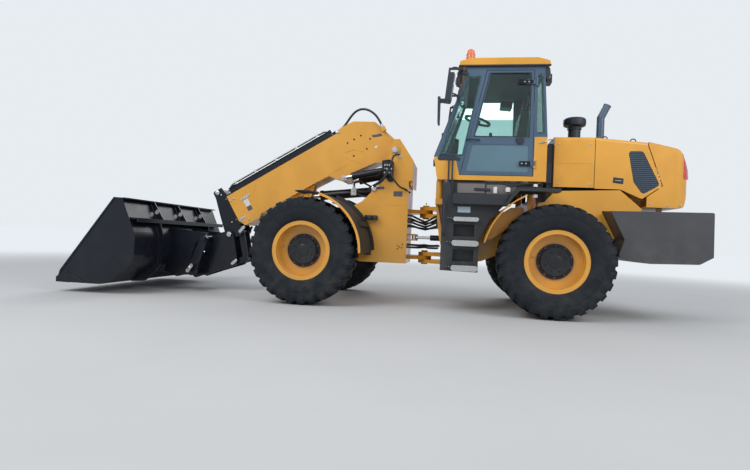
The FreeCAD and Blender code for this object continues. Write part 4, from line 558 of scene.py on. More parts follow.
def build_fitted_heads():
    """Sets one small part on every point of the given mesh, all turned alike."""
    tree, g, given, result = node_tree("fitted_heads", [
            ("Part", "NodeSocketObject", None), ("Turn", "NodeSocketVector", None),
            ("Size", "NodeSocketFloat", 1.0),
            ("Finish", "NodeSocketMaterial", None)])
    part = g.add("GeometryNodeObjectInfo", {"Object": given.outputs["Part"]})
    heads = g.add("GeometryNodeInstanceOnPoints", {
            "Points": given.outputs["Geometry"], "Instance": part.outputs["Geometry"],
            "Rotation": given.outputs["Turn"], "Scale": given.outputs["Size"]})
    real = g.add("GeometryNodeRealizeInstances", {"Geometry": heads.outputs[0]})
    done = g.add("GeometryNodeSetMaterial",
        {"Geometry": real.outputs[0], "Material": given.outputs["Finish"]})
    g.feed(result, 0, done.outputs[0])
    return tree


def build_wheel_ring():
    """Repeats one part round the Y axis and joins the copies to the given mesh."""
    tree, g, given, result = node_tree("wheel_ring", [
            ("Part", "NodeSocketObject", None), ("Count", "NodeSocketInt", 24),
            ("Start", "NodeSocketFloat", 0.0),
            ("Finish", "NodeSocketMaterial", None)])
    part = g.add("GeometryNodeObjectInfo", {"Object": given.outputs["Part"]})
    dots = g.add("GeometryNodePoints", {"Count": given.outputs["Count"]})
    number = g.add("GeometryNodeInputIndex").outputs[0]
    pitch = g.math("DIVIDE", 2 * math.pi, given.outputs["Count"])
    turn = g.math("ADD", g.math("MULTIPLY", number, pitch), given.outputs["Start"])
    turning = g.add("ShaderNodeCombineXYZ", {"Y": turn})
    ring = g.add("GeometryNodeInstanceOnPoints", {
            "Points": dots.outputs[0], "Instance": part.outputs["Geometry"], "Rotation": turning.outputs[0]})
    real = g.add("GeometryNodeRealizeInstances", {"Geometry": ring.outputs[0]})
    both = g.add("GeometryNodeJoinGeometry")
    g.tree.links.new(real.outputs[0], both.inputs[0])
    g.tree.links.new(given.outputs["Geometry"], both.inputs[0])
    done = g.add("GeometryNodeSetMaterial",
        {"Geometry": both.outputs[0], "Material": given.outputs["Finish"]})
    g.feed(result, 0, done.outputs[0])
    return tree


FITTED_HEADS = build_fitted_heads()
WHEEL_RING = build_wheel_ring()


def grown(mesh, tree, values):
    """The plain mesh that a node tree makes from a mesh."""
    seed = bpy.data.objects.new("seed", mesh)
    bpy.context.scene.collection.objects.link(seed)
    grow = seed.modifiers.new("grow", "NODES")
    grow.node_group = tree
    sockets = {i.name: i.identifier for i in tree.interface.items_tree if i.in_out == "INPUT"}
    for title, value in values.items():
        grow[sockets[title]] = value
    seed.update_tag()
    graph = bpy.context.evaluated_depsgraph_get()
    result = bpy.data.meshes.new_from_object(seed.evaluated_get(graph))
    bpy.data.objects.remove(seed)
    return result


def pattern_part(name, shape):
    """A hidden part that node trees repeat."""
    bmesh.ops.recalc_face_normals(shape.mesh, faces=shape.mesh.faces)
    mesh = bpy.data.meshes.new(name)
    shape.mesh.to_mesh(mesh)
    shape.mesh.free()
    return bpy.data.objects.new(name, mesh)


def bolt_head():
    """A hexagon head on a washer, 19 mm across its corners, standing on the XY plane."""
    shape, origin = Shape(), Vector((0, 0, 0))
    shape.turned(origin, (0, 0, 1), [(-2, 11.5), (1.8, 11.5), (2.2, 11.0)], 16)
    shape.turned(origin, (0, 0, 1), [(2.0, 9.6), (8.0, 9.6), (9.0, 8.6)], 6)
    return pattern_part("bolt_head", shape)


def dome_head():
    """A button head, 20 mm wide, standing on the XY plane."""
    shape = Shape()
    shape.turned(Vector((0, 0, 0)), (0, 0, 1), [(-2, 10), (1, 10), (4, 8.5), (6, 5.5), (6.8, 2)], 12)
    return pattern_part("dome_head", shape)


BOLT, DOME = bolt_head(), dome_head()


# Tyres: carcass with two rows of wide lugs.
def tyre_carcass():
    """The tyre without its lugs; half holds (radius, distance from the middle), from bead to tread."""
    half = [(336, 166), (364, 168), (372, 182), (392, 200), (420, 211), (470, 220), (520, 221.5), (528, 219),
        (534, 221.5),
        (575, 219), (606, 210), (628, 192), (640, 165), (645, 110), (648, 0)]
    profile = [(r, -y) for r, y in half] + [(r, y) for r, y in reversed(half[:-1])]
    mesh = bmesh.new()
    rings = [[mesh.verts.new((r * MM * math.cos(a), y * MM, r * MM * math.sin(a))) for r, y in profile]
        for a in angles(72)]
    for ring, after in zip(rings, rings[1:] + rings[:1]):
        for i in range(len(profile)):
            j = (i + 1) % len(profile)
            mesh.faces.new((ring[i], ring[j], after[j], after[i]))
    bmesh.ops.recalc_face_normals(mesh, faces=mesh.faces)
    done = bpy.data.meshes.new("tyre_carcass")
    mesh.to_mesh(done)
    mesh.free()
    return done


def tyre_lug():
    """One lug: from past the middle of the tread, curving round to the shoulder and down the sidewall."""
    # columns: distance from the middle, turn in degrees, half width in degrees,
    # height of the foot, height of the top
    stations = [(-22, -2.6, 1.9, 640, 674), (40, -1.6, 2.3, 640, 675), (100, 0.0, 2.9, 636, 674),
        (150, 1.5, 3.5, 628, 670),
        (186, 2.4, 3.8, 612, 660), (205, 2.9, 3.9, 596, 640), (216, 3.1, 3.9, 578, 612),
        (221, 3.2, 3.6, 560, 580)]
    shape = Shape()
    rings = []
    for out, turn, half, foot, top in stations:
        ring = []
        for side, height in ((-1.12, foot), (-0.86, top), (0.86, top), (1.12, foot)):
            a = math.radians(turn + half * side)
            reach = out if height == top else out - 3
            ring.append(Vector((height * MM * math.cos(a), reach * MM, height * MM * math.sin(a))))
        rings.append(ring)
    shape.skin(rings)
    return shape


LUG_COUNT = 28
near_lug = pattern_part("near_lug", tyre_lug())
far_shape = tyre_lug()
for vert in far_shape.mesh.verts:
    vert.co.y = -vert.co.y
far_lug = pattern_part("far_lug", far_shape)
treaded = grown(tyre_carcass(), WHEEL_RING, {"Part": near_lug, "Count": LUG_COUNT, "Start": 0.0,
        "Finish": TREAD})
treaded = grown(treaded, WHEEL_RING, {"Part": far_lug, "Count": LUG_COUNT, "Start": math.pi / LUG_COUNT,
        "Finish": TREAD})

WHEELS = (("fl", 1, 1), ("fr", 1, -1), ("rl", -1, 1), ("rr", -1, -1))
for tag, fore, side in WHEELS:
    centre = at(AXLE_X * fore, HALF_TRACK * side, AXLE_Z)
    mesh = treaded.copy()
    mesh.transform(Matrix.Translation(centre) @ Matrix.Rotation(math.radians(5 if fore > 0 else 17), 4, "Y"))
    fit(mesh, "tread_" + tag, "wheel_" + tag, TREAD, smooth=32, instead_of=("tyre_" + tag,))



class Fitter:
    """Makes the pieces of one body; put turns drawing sizes into places.

    With both, each part is repeated on the other side of the machine.
    """

    def __init__(self, body, put=at):
        self.body, self.put = body, put

    def plates(self, name, finish, items, both=False, soften=1.5):
        """One piece from several plates, each (outline, near, far)."""
        shape = Shape()
        for outline, low, high in items:
            shape.prism(outline, low, high, self.put)
            if both:
                shape.prism(outline, -high, -low, self.put)
        return shape.done(name, self.body, finish, soften)

    def pipes(self, name, finish, paths, radius, both=False):
        """One piece from several bent pipes, each a list of places."""
        shape = Shape()
        for path in paths:
            for side in ((1, -1) if both else (1,)):
                shape.bent([self.put(x, side * y, z) for x, y, z in path], radius)
        return shape.done(name, self.body, finish)

    def rounds(self, name, finish, items, both=False, along=(0, 1, 0), steps=24):
        """One piece from several turned parts, each (centre, profile of (distance, radius))."""
        shape = Shape()
        for (x, y, z), profile in items:
            for side in ((1, -1) if both else (1,)):
                axis = (along[0], along[1] * side, along[2])
                shape.turned(self.put(x, side * y, z), axis, profile, steps)
        return shape.done(name, self.body, finish)

    def fasteners(self, name, face, spots, size=1.0, part=BOLT, finish=ZINC, side=1):
        """Bolts or screws on a face at one distance from the middle, facing left, or right if side is -1."""
        mesh = bpy.data.meshes.new(name + "_spots")
        mesh.from_pydata([tuple(self.put(x, face, z)) for x, z in spots], [], [])
        turn = (-side * math.pi / 2, 0, 0)
        made = grown(mesh, FITTED_HEADS, {"Part": part, "Turn": turn, "Size": size, "Finish": finish})
        return fit(made, name, self.body, None, smooth=30)


boom, nose, tool = Fitter("boom", on_boom), Fitter("telescope", on_boom), Fitter("tool", at_tool)
front, rear = Fitter("front"), Fitter("rear")
lift, cab_door = Fitter("lift_cylinder"), Fitter("cab_door")


def rect(x0, x1, z0, z1):
    """Outline of a rectangle in the side view."""
    return [(x0, z0), (x1, z0), (x1, z1), (x0, z1)]


def bar(a, b, half):
    """Outline of a flat bar with rounded ends between two points, with half its width."""
    run, rise = b[0] - a[0], b[1] - a[1]
    turn = math.atan2(rise, run)
    out = []
    for centre, start in ((b, turn - math.pi / 2), (a, turn + math.pi / 2)):
        for k in range(7):
            angle = start + math.pi * k / 6
            out.append((centre[0] + half * math.cos(angle), centre[1] + half * math.sin(angle)))
    return out


def span(side, near, far):
    """Two distances from the middle, on the left or on the right, in rising order."""
    return sorted((side * near, side * far))


def wheel_strip(shape, r0, r1, start, end, y0, y1, steps=24):
    """A bent strip round the front axle, between two radii and two angles in degrees."""
    rings = []
    for k in range(steps + 1):
        a = math.radians(start + (end - start) * k / steps)
        rings.append([at(AXLE_X + r * math.cos(a), y, AXLE_Z + r * math.sin(a))
                for r, y in ((r0, y0), (r1, y0), (r1, y1), (r0, y1))])
    shape.skin(rings)


# Distances of the main faces from the middle, and two directions.
BOOM_SIDE, NOSE_SIDE, EAR_SIDE, LOCK_SIDE, TOWER_SIDE = 200.0, 150.0, 182.0, 462.0, 375.0
CAB_SIDE, HOOD_SIDE, STEP_SIDE, BUCKET_SIDE = 775.0, 600.0, 834.5, 1250.0
UP, AHEAD = (0, 0, 1), (1, 0, 0)


# Boom: tray over the telescope cylinder, pipes, pins, seams, blank labels.
boom.plates("boom_tray_sides", BLACK, [(rect(700, 2430, 671, 768), 112, 119)], both=True)
boom.plates("boom_tray_lips", BLACK, [(rect(700, 2430, 762, 768), 112, 134)], both=True)
boom.pipes("boom_pipes", ZINC, [
        [(690, y, 700), (760, y, 806), (900, y, 812), (2360, y, 812), (2420, y, 780)]
        for y in (88, 60, -60, -88)
    ], 9)
boom.plates("boom_pipe_clamps", ZINC, [
        (rect(u - 16, u + 16, 768, 826), 44, 104)
        for u in (900, 1250, 1600, 1950, 2300)
    ], both=True)
plug_spots = (330, 458), (439, 459), (545, 462), (238, 354), (343, 252), (552, 256)
pad_spots = (2455, 570), (2401, 578), (2425, 212), (2340, 200), (2455, 250), (2290, 507), (2160, 519)
boom.fasteners("boom_plugs", BOOM_SIDE + 0.6, plug_spots, 1.25, DOME, BLACK)
boom.fasteners("boom_pad_bolts", BOOM_SIDE + 0.6, pad_spots, 1.3)
boom.plates("boom_pad_covers", ZINC, [
        (bar((2300, 507), (2175, 515), 17), BOOM_SIDE, BOOM_SIDE + 7),
        (bar((2440, 262), (2370, 262), 15), BOOM_SIDE, BOOM_SIDE + 6),
    ], both=True)
boom.rounds("boom_pin_ends", ZINC, [((808, 326, 33), [(0, 24), (8, 24), (12, 19), (14, 19)])], both=True)
boom.rounds("head_stud", ZINC, [((585, 198, 664), [(0, 20), (16, 20), (20, 16)])], both=True)
boom.plates("boom_labels", LABEL_DARK, [
        ([(62, 300), (190, 346), (198, 388), (66, 342)], BOOM_SIDE - 1, BOOM_SIDE + 1.6),
        (rect(2212, 2284, 306, 372), BOOM_SIDE - 1, BOOM_SIDE + 1.6),
    ], soften=0.4)
boom.plates("boom_label_pale", LABEL_PALE, [
        (rect(2212, 2284, 376, 478), BOOM_SIDE - 1, BOOM_SIDE + 1.4),
        (rect(196, 236, 196, 226), BOOM_SIDE - 1, BOOM_SIDE + 1.4),
    ], soften=0.4)
seam_routes = (
    ((2012, 596), (2184, 413), (2190, 330)),
    ((681, 321), (600, 200), (508, 112)),
    ((640, 359), (500, 330), (386, 227)),
    ((700, 190), (2120, 190)),
)
boom.pipes("boom_seams", YELLOW, [
        [(u, BOOM_SIDE, v) for u, v in route]
        for route in seam_routes
    ], 3.2, both=True)

# Nose and linkage: pin flags and caps, hoses, lock bar ends.
nose_spots = (2520, 640), (2520, 300), (2600, 300), (2560, 735)
nose.plates("nose_pin_flags", ZINC, [(
        bar((2557, 121), (2475, 150), 22), NOSE_SIDE - 0.5, NOSE_SIDE + 1.7,
        )], both=True)
nose.rounds("tilt_pin_cap", ZINC, [(
        (2708, 196, 152),
        [(0, 39), (6, 39), (12, 33), (14, 12), (20, 12)],
        )], both=True)
nose.rounds("nose_bushes", ZINC, [((2600, 149, 790), [(0, 34), (7, 34), (9, 30)])], both=True)
nose.fasteners("nose_bolts", NOSE_SIDE + 0.5, nose_spots)
nose.pipes("nose_hoses", HOSE, [
        [(2520, y, 760), (2600, y, 700), (2640, y, 560), (2650, y, 300), (2640, y, 180)]
        for y in (-60, -20, 30, 70)
    ], 11)
tool.plates("link_flags", ZINC, [(
        bar((-118, -374), (-64, -424), 21), EAR_SIDE - 0.5, EAR_SIDE + 4,
        )], both=True)
tool.plates("lock_flags", ZINC, [(
        bar((424, -462), (478, -540), 26), LOCK_SIDE, LOCK_SIDE + 8,
        )], both=True)
tool.rounds("lock_pin_ends", ZINC, [((451, LOCK_SIDE, -502), [(0, 26), (14, 26), (18, 20)])], both=True)
tool.pipes("lock_pipe", ZINC, [[(375, EAR_SIDE, -280), (430, EAR_SIDE, -170)]], 13, both=True)
tool.pipes("coupler_hoses", HOSE, [
        [(120, y, 30), (230, y, -100), (330, y, -260), (400, y, -380)]
        for y in (-40, 0, 40)
    ], 10)
tool.rounds("coupler_ram", BLACK, [(
        (340, -180, -470),
        [(0, 30), (160, 30), (160, 36), (200, 36), (200, 18), (360, 18)],
        )])

# Lift cylinder: holding valve, its hoses and the line along the barrel.
lift.plates("lift_valve", ZINC, [
        (rect(1056, 1136, 1462, 1556), 62, 108),
        (rect(1076, 1116, 1552, 1590), 66, 98),
    ], soften=3)
lift.rounds("lift_valve_caps", PALE, [
        ((1096, 106, 1530), [(0, 17), (22, 17), (26, 12)]),
        ((1096, 106, 1488), [(0, 14), (16, 14)]),
    ])
lift.pipes("lift_line", BLACK, [[
        (1130, 88, 1500), (1200, 88, 1490), (1560, 84, 1452), (1590, 60, 1448),
        ]], 9)
lift.pipes("lift_hoses", HOSE, [
        [
        (1096, 84, 1585), (1090, 96, 1650), (1000, 130, 1668), (880, 140, 1610), (800, 120, 1566),
        (752, 96, 1552),
        ],
        [(1060, 84, 1500), (1010, 110, 1470), (900, 140, 1440), (810, 130, 1486), (756, 100, 1522)],
    ], 13)

# Front frame: pin flags, valve block with its hoses, blank labels, latches.
front.rounds("pivot_caps", ZINC, [(
        (PIVOT[0], 399, PIVOT[1]),
        [(0, 44), (10, 44), (16, 38), (17, 14), (26, 14)],
        )], both=True)
front.plates("pivot_flags", ZINC, [(
        bar((500, 2062), (428, 1996), 26), TOWER_SIDE, TOWER_SIDE + 8,
        )], both=True)
front.rounds("lift_pin_rings", ZINC, [(
        (LIFT_PIN[0], 399, LIFT_PIN[1]),
        [(0, 34), (8, 34), (10, 30), (10, 18), (14, 18)],
        )], both=True)
front.fasteners("pivot_flag_bolts", TOWER_SIDE + 8, ((428, 1996), (446, 2013)), 1.1)
front.plates("tower_labels", LABEL_DARK, [
        ([(617, 1536), (738, 1528), (742, 1565), (620, 1572)], TOWER_SIDE, TOWER_SIDE + 1.6),
        (rect(368, 490, 1442, 1512), TOWER_SIDE, TOWER_SIDE + 1.6),
    ], soften=0.4)
front.plates("valve_block", BLACK, [([
        (660, 1924), (655, 1735), (600, 1690), (560, 1640), (500, 1640), (500, 1905), (560, 1940),
        ], TOWER_SIDE, TOWER_SIDE + 26)], soften=3)
front.plates("valve_sections", PLASTIC, [
        (rect(506 + 30 * i, 532 + 30 * i, 1712, 1890), TOWER_SIDE + 24, TOWER_SIDE + 96)
        for i in range(4)
    ], soften=4)
front.rounds("valve_ports", ZINC, [
        ((519 + 30 * i, TOWER_SIDE + 94, z), [(0, 11), (14, 11), (14, 8), (26, 8)])
        for i in range(4) for z in (1750, 1800, 1850)
    ], steps=12)
front.pipes("valve_hoses", HOSE, [
        [(519, 480, 1850), (519, 520, 1850), (505, 505, 1960), (460, 430, 2010), (400, 340, 2010)],
        [
        (549, 480, 1800), (549, 515, 1790), (600, 500, 1690), (700, 420, 1620), (760, 330, 1600),
        (840, 290, 1560),
        ],
        [(579, 480, 1750), (579, 512, 1735), (620, 490, 1640), (740, 420, 1570), (850, 330, 1530)],
        [(609, 480, 1800), (640, 510, 1790), (690, 430, 1730), (740, 330, 1720)],
        [
        (519, 480, 1750), (519, 510, 1730), (470, 500, 1640), (400, 460, 1560), (330, 400, 1540),
        (270, 330, 1500),
        ],
    ], 12)
front.plates("fender_stays", BLACK, [
        (rect(690, 860, 1112, 1172), TOWER_SIDE - 1, 470),
        (rect(760, 850, 640, 700), TOWER_SIDE - 1, 470),
    ], both=True, soften=3)
front.rounds("stay_knobs", PLASTIC, [
        ((x, 470, 1142), [(0, 26), (12, 26), (18, 18)])
        for x in (720, 800)
    ], both=True)
tower_spots = (406, 775), (380, 760), (406, 735), (350, 752), (340, 800)
front.fasteners("tower_bolts", TOWER_SIDE, tower_spots, 0.9, DOME, BLACK)
front.pipes("tower_seams", YELLOW, [
        [(x, TOWER_SIDE, z) for x, z in route]
        for route in (((245, 1662), (395, 1662)), ((300, 1320), (560, 1330), (700, 1290)))
    ], 3.0, both=True)
lips, covers = Shape(), Shape()
for side in (1, -1):
    wheel_strip(lips, 722, 752, 106, 180, *span(side, 1171.0, 1178.0))
    wheel_strip(covers, 748.6, 757, 103, 181, *span(side, TOWER_SIDE + 0.6, 1170.0))
    wheel_strip(covers, 756, 800, 108, 178, *span(side, TOWER_SIDE + 0.6, TOWER_SIDE + 9))
lips.done("fender_lips", "front", YELLOW, 1.0)
covers.done("fender_covers", "front", RUBBER, 1.0)

# Waist: hoses, their clamps, the hinge pin's grease nipple.
# Each hose is two halves that meet close to the steering axis, where the frames only turn.
# columns: distance from the middle and height at the frames' walls, the same beside the axis
WAIST = (
    (330, 1195, 60, 1118), (300, 1150, 30, 1084), (335, 1105, 64, 1050), (300, 1060, 30, 1014),
    (-300, 1150, -58, 1104), (-320, 1060, -40, 1030), (300, 800, 35, 800), (330, 765, 66, 768),
    (-310, 790, -50, 792),
)
for body, wall, lead, turn, past in (("rear", -140, -90, -10, 66), ("front", 291, 235, 140, 54)):
    Fitter(body).pipes("waist_hoses_" + body, HOSE, [
            [(wall, y, z), (lead, y, z - 4), (turn, y1 + (y - y1) * 0.4, (z + z1) / 2 - 8), (past, y1, z1)]
            for y, z, y1, z1 in WAIST
        ], 14)
rear.plates("waist_clamp", BLACK, [
        (rect(-130, -100, 1040, 1220), 270, 372),
        (rect(-134, -104, 1040, 1180), -350, -270),
    ], soften=3)
rear.rounds("hitch_grease", ZINC, [((60, 0, 1370), [(0, 9), (14, 9), (22, 4)])], along=UP, steps=8)

# Cab: seals, handle, hinges, wiper, mirrors, lamps, interior.
cab_door.plates("door_seal", RUBBER, [
        ([(-543, 2187), (-712, 2983), (-702, 2983), (-535, 2187)], CAB_SIDE - 16, CAB_SIDE + 3),
        ([(-712, 2975), (-1204, 2975), (-1204, 2985), (-714, 2985)], CAB_SIDE - 16, CAB_SIDE + 3),
        (rect(-1214, -1204, 2187, 2985), CAB_SIDE - 16, CAB_SIDE + 3),
        (rect(-1210, -543, 2183, 2193), CAB_SIDE - 16, CAB_SIDE + 3),
    ], soften=0.8)
cab_door.pipes("door_handle", PLASTIC, [[
        (-452, CAB_SIDE, 2146), (-458, CAB_SIDE + 34, 2146), (-600, CAB_SIDE + 34, 2140),
        (-606, CAB_SIDE, 2140),
        ]], 9)
cab_door.plates("door_lock", PLASTIC, [([
        (-1050, 2172), (-1150, 2172), (-1140, 2115), (-1100, 2090), (-1062, 2115),
        ], CAB_SIDE, CAB_SIDE + 22)], soften=4)
cab_door.plates("door_hinge_covers", BLACK, [
        (rect(-1235, -1060, 2840, 2892), CAB_SIDE, CAB_SIDE + 18),
        (rect(-1235, -1100, 1826, 1886), CAB_SIDE, CAB_SIDE + 18),
    ], soften=4)
cab_door.fasteners("door_hinge_bolts", CAB_SIDE + 18, [
        (x, z)
        for z in (2866, 1856) for x in (-1130, -1180)
    ], 0.9)
rear.plates("roof_gutter", PLASTIC, [([
        (-322, 3060), (-322, 3078), (-1436, 3078), (-1436, 3060),
        ], 776, 808)], both=True, soften=2)
rear.pipes("roof_ribs", YELLOW, [
        [(-560, y, 3164), (-620, y, 3168), (-1160, y, 3168), (-1220, y, 3164)]
        for y in (-480, -240, 240, 480)
    ], 9)
rear.plates("headliner", VINYL, [(rect(-1350, -470, 3010, 3040), -715, 715)])
rear.plates("front_corner", PLASTIC, [([
        (-290, 1950), (-385, 1912), (-380, 1880), (-120, 1880), (-96, 1905), (-130, 1960),
        ], CAB_SIDE, CAB_SIDE + 4)], both=True, soften=1)
rear.pipes("grab_tubes", PLASTIC, [
        [
        (x, CAB_SIDE, 1880), (x, CAB_SIDE + 36, 1868), (x - 2, CAB_SIDE + 44, 1700),
        (x - 4, CAB_SIDE + 44, 1560), (x - 6, CAB_SIDE + 44, 1340),
        ]
        for x in (-243, -289)
    ], 11)
rear.pipes("wiper", PLASTIC, [[(-120, 120, 1990), (-160, 160, 2110), (-300, 180, 2560)]], 6)
rear.plates("wiper_motor", PLASTIC, [(rect(-60, -20, 1900, 1990), 80, 160)], soften=4)
mirrors = Shape()
for side in (1, -1):
    mirrors.skin([[at(-238 - 0.118 * (z - 2570) - depth, side * y, z)
            for y, z in ((872, 2584), (1048, 2584), (1048, 2890), (872, 2890))] for depth in (0, 5)])
mirrors.done("mirror_glasses", "rear", MIRROR)
rear.pipes("mirror_loop", PLASTIC, [
        [(-345, 800, 2990), (-345, 870, 3010), (-262, 900, 3018), (-212, 920, 2985), (-198, 928, 2900)],
        [(-330, 780, 2690), (-300, 860, 2690), (-232, 928, 2690)],
    ], 9, both=True)
rear.plates("pillar_lamp", PLASTIC, [([
        (-330, 2915), (-290, 2905), (-296, 2810), (-350, 2790),
        ], 776, 850)], both=True, soften=6)
rear.rounds("pillar_lamp_lens", CLEAR, [(
        (-292, 812, 2858),
        [(-4, 34), (6, 34), (12, 26), (14, 10)],
        )], both=True, along=AHEAD)
rear.plates("rear_lamp_body", PLASTIC, [([
        (-1352, 3046), (-1430, 3046), (-1440, 2960), (-1402, 2880), (-1360, 2960),
        ], 640, 770)], both=True, soften=8)
rear.rounds("rear_lamp_lens", CLEAR, [(
        (-1434, 705, 2975),
        [(-4, 42), (4, 42), (10, 34), (12, 12)],
        )], both=True, along=(-1, 0, -0.15))
LAMP_PLACES = -620, -470, 470, 620
rear.plates("front_lamp_body", PLASTIC, [
        (rect(-372, -318, 3040, 3120), y - 55, y + 55)
        for y in LAMP_PLACES
    ], soften=8)
rear.rounds("front_lamp_lens", CLEAR, [
        ((-319, y, 3080), [(-4, 34), (5, 34), (10, 28), (12, 10)])
        for y in LAMP_PLACES
    ], along=AHEAD)
rear.plates("monitor", PLASTIC, [([
        (-950, 2960), (-1120, 2950), (-1112, 2850), (-945, 2868),
        ], -640, -420)], soften=5)
rear.rounds("wheel_knob", PLASTIC, [(
        (-800, -160, 2360),
        [(0, 16), (40, 24), (64, 20), (74, 8)],
        )], along=UP)
rear.plates("armrest", VINYL, [([
        (-1010, 2170), (-720, 2180), (-715, 2215), (-1010, 2215),
        ], 265, 345)], both=True, soften=10)
rear.plates("seat_head", VINYL, [([
        (-1200, 2720), (-1260, 2720), (-1275, 2900), (-1225, 2910),
        ], -130, 130)], soften=18)
rear.plates("dashboard", PLASTIC, [([
        (-170, 1925), (-330, 1960), (-360, 2240), (-300, 2260), (-230, 2050),
        ], -300, 300)], soften=8)
rear.pipes("door_hook", ZINC, [[
        (-1330, CAB_SIDE, 2112), (-1400, CAB_SIDE + 14, 2130), (-1450, CAB_SIDE - 20, 2160),
        (-1500, CAB_SIDE - 120, 2180),
        ]], 8)

# Under the cab: fittings, blank plates, step treads.
STEP_HEIGHTS = 548, 857, 1154
rear.plates("service_plate", LABEL_GREY, [
        (rect(-360, -700, 1480, 1600), 746, 750),
        (rect(-720, -1080, 1470, 1590), 746, 750),
    ], soften=1)
rear.plates("service_strips", PLASTIC, [([
        (-571, 1512), (-766, 1506), (-766, 1540), (-571, 1548),
        ], 750, 758)], soften=2)
rear.plates("edge_strips", PLASTIC, [(rect(-948, -756, 1398, 1424), 935, 938)], soften=1)
rear.rounds("filter_caps", PALE, [
        ((-824, 790, 1480), [(0, 24), (70, 24), (78, 18)]),
        ((-978, 790, 1500), [(0, 30), (46, 30), (54, 22)]),
    ], along=UP)
rear.rounds("hose_ends", PALE, [
        ((-1290, 890, 1560), [(0, 24), (26, 24), (34, 14)]),
        ((-1290, 890, 1430), [(0, 30), (36, 30), (44, 18)]),
    ], along=UP)
rear.pipes("red_hose", RED_HOSE, [[
        (-1290, 890, 1430), (-1270, 890, 1350), (-1262, 885, 1250), (-1290, 850, 1170),
        ]], 12)
rear.pipes("grey_hoses", HOSE, [
        [(-940, 780, 1600), (-1020, 800, 1570), (-1102, 800, 1590), (-1200, 790, 1610), (-1330, 700, 1600)],
        [(-1290, 890, 1560), (-1330, 860, 1610), (-1400, 700, 1600)],
    ], 13)
rear.plates("tread_guards", ZINC, [
        (bar((-350, height - 11), (-610, height - 11), half), 884, 889)
        for height, half in zip(STEP_HEIGHTS, (36, 36, 27))
    ], soften=1.5)
rear.plates("tread_grips", ZINC, [
        (rect(x, x + 12, height, height + 5), 836, 884)
        for height in STEP_HEIGHTS for x in range(-640, -260, 34)
    ], soften=1)
rear.pipes("hand_rail", PLASTIC, [[
        (-205, 850, 1330), (-205, 905, 1335), (-206, 908, 1150), (-210, 908, 950), (-212, 850, 940),
        ]], 12)
rear.plates("step_panel", FRAME_GREY, [(
        rect(-600, -316, 1196, 1380), STEP_SIDE, STEP_SIDE + 3.5,
        )], soften=1)
rear.plates("blank_plate", LABEL_BLUE, [(
        rect(-530, -375, 1228, 1300), STEP_SIDE + 3.5, STEP_SIDE + 5,
        )], soften=0.6)

# Hood doors: handles in their pans, grilles of a mesh behind bars.
HANDLE_PAN = [(-2250, 1668), (-2372, 1652), (-2378, 1722), (-2256, 1738)]
HANDLE = (-2275, 1, 1690), (-2280, 22, 1692), (-2340, 22, 1688), (-2345, 1, 1686)
GRILLE = [(-2420, 2060), (-2592, 2062), (-2795, 1650), (-2600, 1530), (-2491, 1681)]


def across(outline, level):
    """Where a level line enters and leaves an outline."""
    cuts = []
    for (x0, z0), (x1, z1) in zip(outline, outline[1:] + outline[:1]):
        if (z0 - level) * (z1 - level) < 0:
            cuts.append(x0 + (x1 - x0) * (level - z0) / (z1 - z0))
    return min(cuts), max(cuts)


for tag, suffix, side in (("left", "", 1), ("right", "_r", -1)):
    door = Fitter("hood_door_" + tag)
    door.plates("hood_handle_pan" + suffix, PLASTIC, [(
            HANDLE_PAN,
            *span(side, HOOD_SIDE - 4, HOOD_SIDE + 3),
            )], soften=3)
    door.pipes("hood_handle" + suffix, ZINC, [[
            (x, side * (HOOD_SIDE + out), z)
            for x, out, z in HANDLE
            ]], 6)
    door.plates("grille_mesh_" + tag, FRAME_GREY, [(GRILLE, *span(side, HOOD_SIDE - 7.5, HOOD_SIDE - 6))])
    bars = Shape()
    for level in range(1560, 2056, 24):
        start, end = across(GRILLE, level + 3)
        bars.prism(rect(start + 6, end - 6, level, level + 6), *span(side, HOOD_SIDE - 6.5, HOOD_SIDE - 1))
    bars.done("grille_bars_" + tag, door.body, CAB_GREY)


# Tail lamps, wrapped round the tail's corners.
TAIL_END = -3150
LENS_WIDTHS = 455, 480, 505, 530, 555, 575
LENS_HEIGHTS = 1738, 1775, 1850, 1950, 2046


def tail_face(y, z):
    """Where the rounded tail ends, at a distance from the middle and a height."""
    corner = TAIL_END + 84 * max(0.0, (y - 450) / 125) ** 2
    return max(corner, TAIL_END + (z - 1775) * 0.405)


lenses = Shape()
for side in (1, -1):
    lenses.skin([[at(tail_face(y, z) - 15, side * y, z) for z in LENS_HEIGHTS]
            + [at(tail_face(y, z) + 12, side * y, z) for z in reversed(LENS_HEIGHTS)] for y in LENS_WIDTHS])
lenses.done("tail_lamps", "rear", RED, 3)

# Exhaust, cleaner, lifting eyes, seams and bolts of the hood.
eyes = Shape()
for x, level in ((-2258, 2296), (-2612, 2268)):
    for y in (-150, 150):
        ring = [at(x + 34 * math.cos(a), y, level + 34 * math.sin(a)) for a in angles(24)]
        for start, end in zip(ring, ring[1:] + ring[:1]):
            eyes.rod(start, end, 8, 8)
        eyes.turned(at(x, y, level - 78), UP, [(0, 22), (30, 22), (36, 13), (46, 13)], 16)
eyes.done("lifting_eyes", "rear", CAST)
rear.rounds("exhaust_shield", ZINC, [((-2237, 0, 2236), [(0, 66), (40, 66), (48, 60)])], along=UP)
rear.rounds("exhaust_rim", CAB_GREY, [(
        (-2312, 0, 2771),
        [(0, 53), (12, 53), (12, 46), (-30, 46)],
        )], along=(-0.42, 0, 0.9))
rear.rounds("cleaner_bowl", PLASTIC, [(
        (-1903, 0, 2480),
        [(0, 100), (20, 143), (60, 148), (100, 146), (118, 128), (128, 60), (134, 20)],
        )], along=UP)
rear.rounds("cleaner_neck", PLASTIC, [(
        (-1903, 0, 2240),
        [(0, 92), (14, 92), (20, 80), (200, 80), (206, 92), (224, 92)],
        )], along=UP)
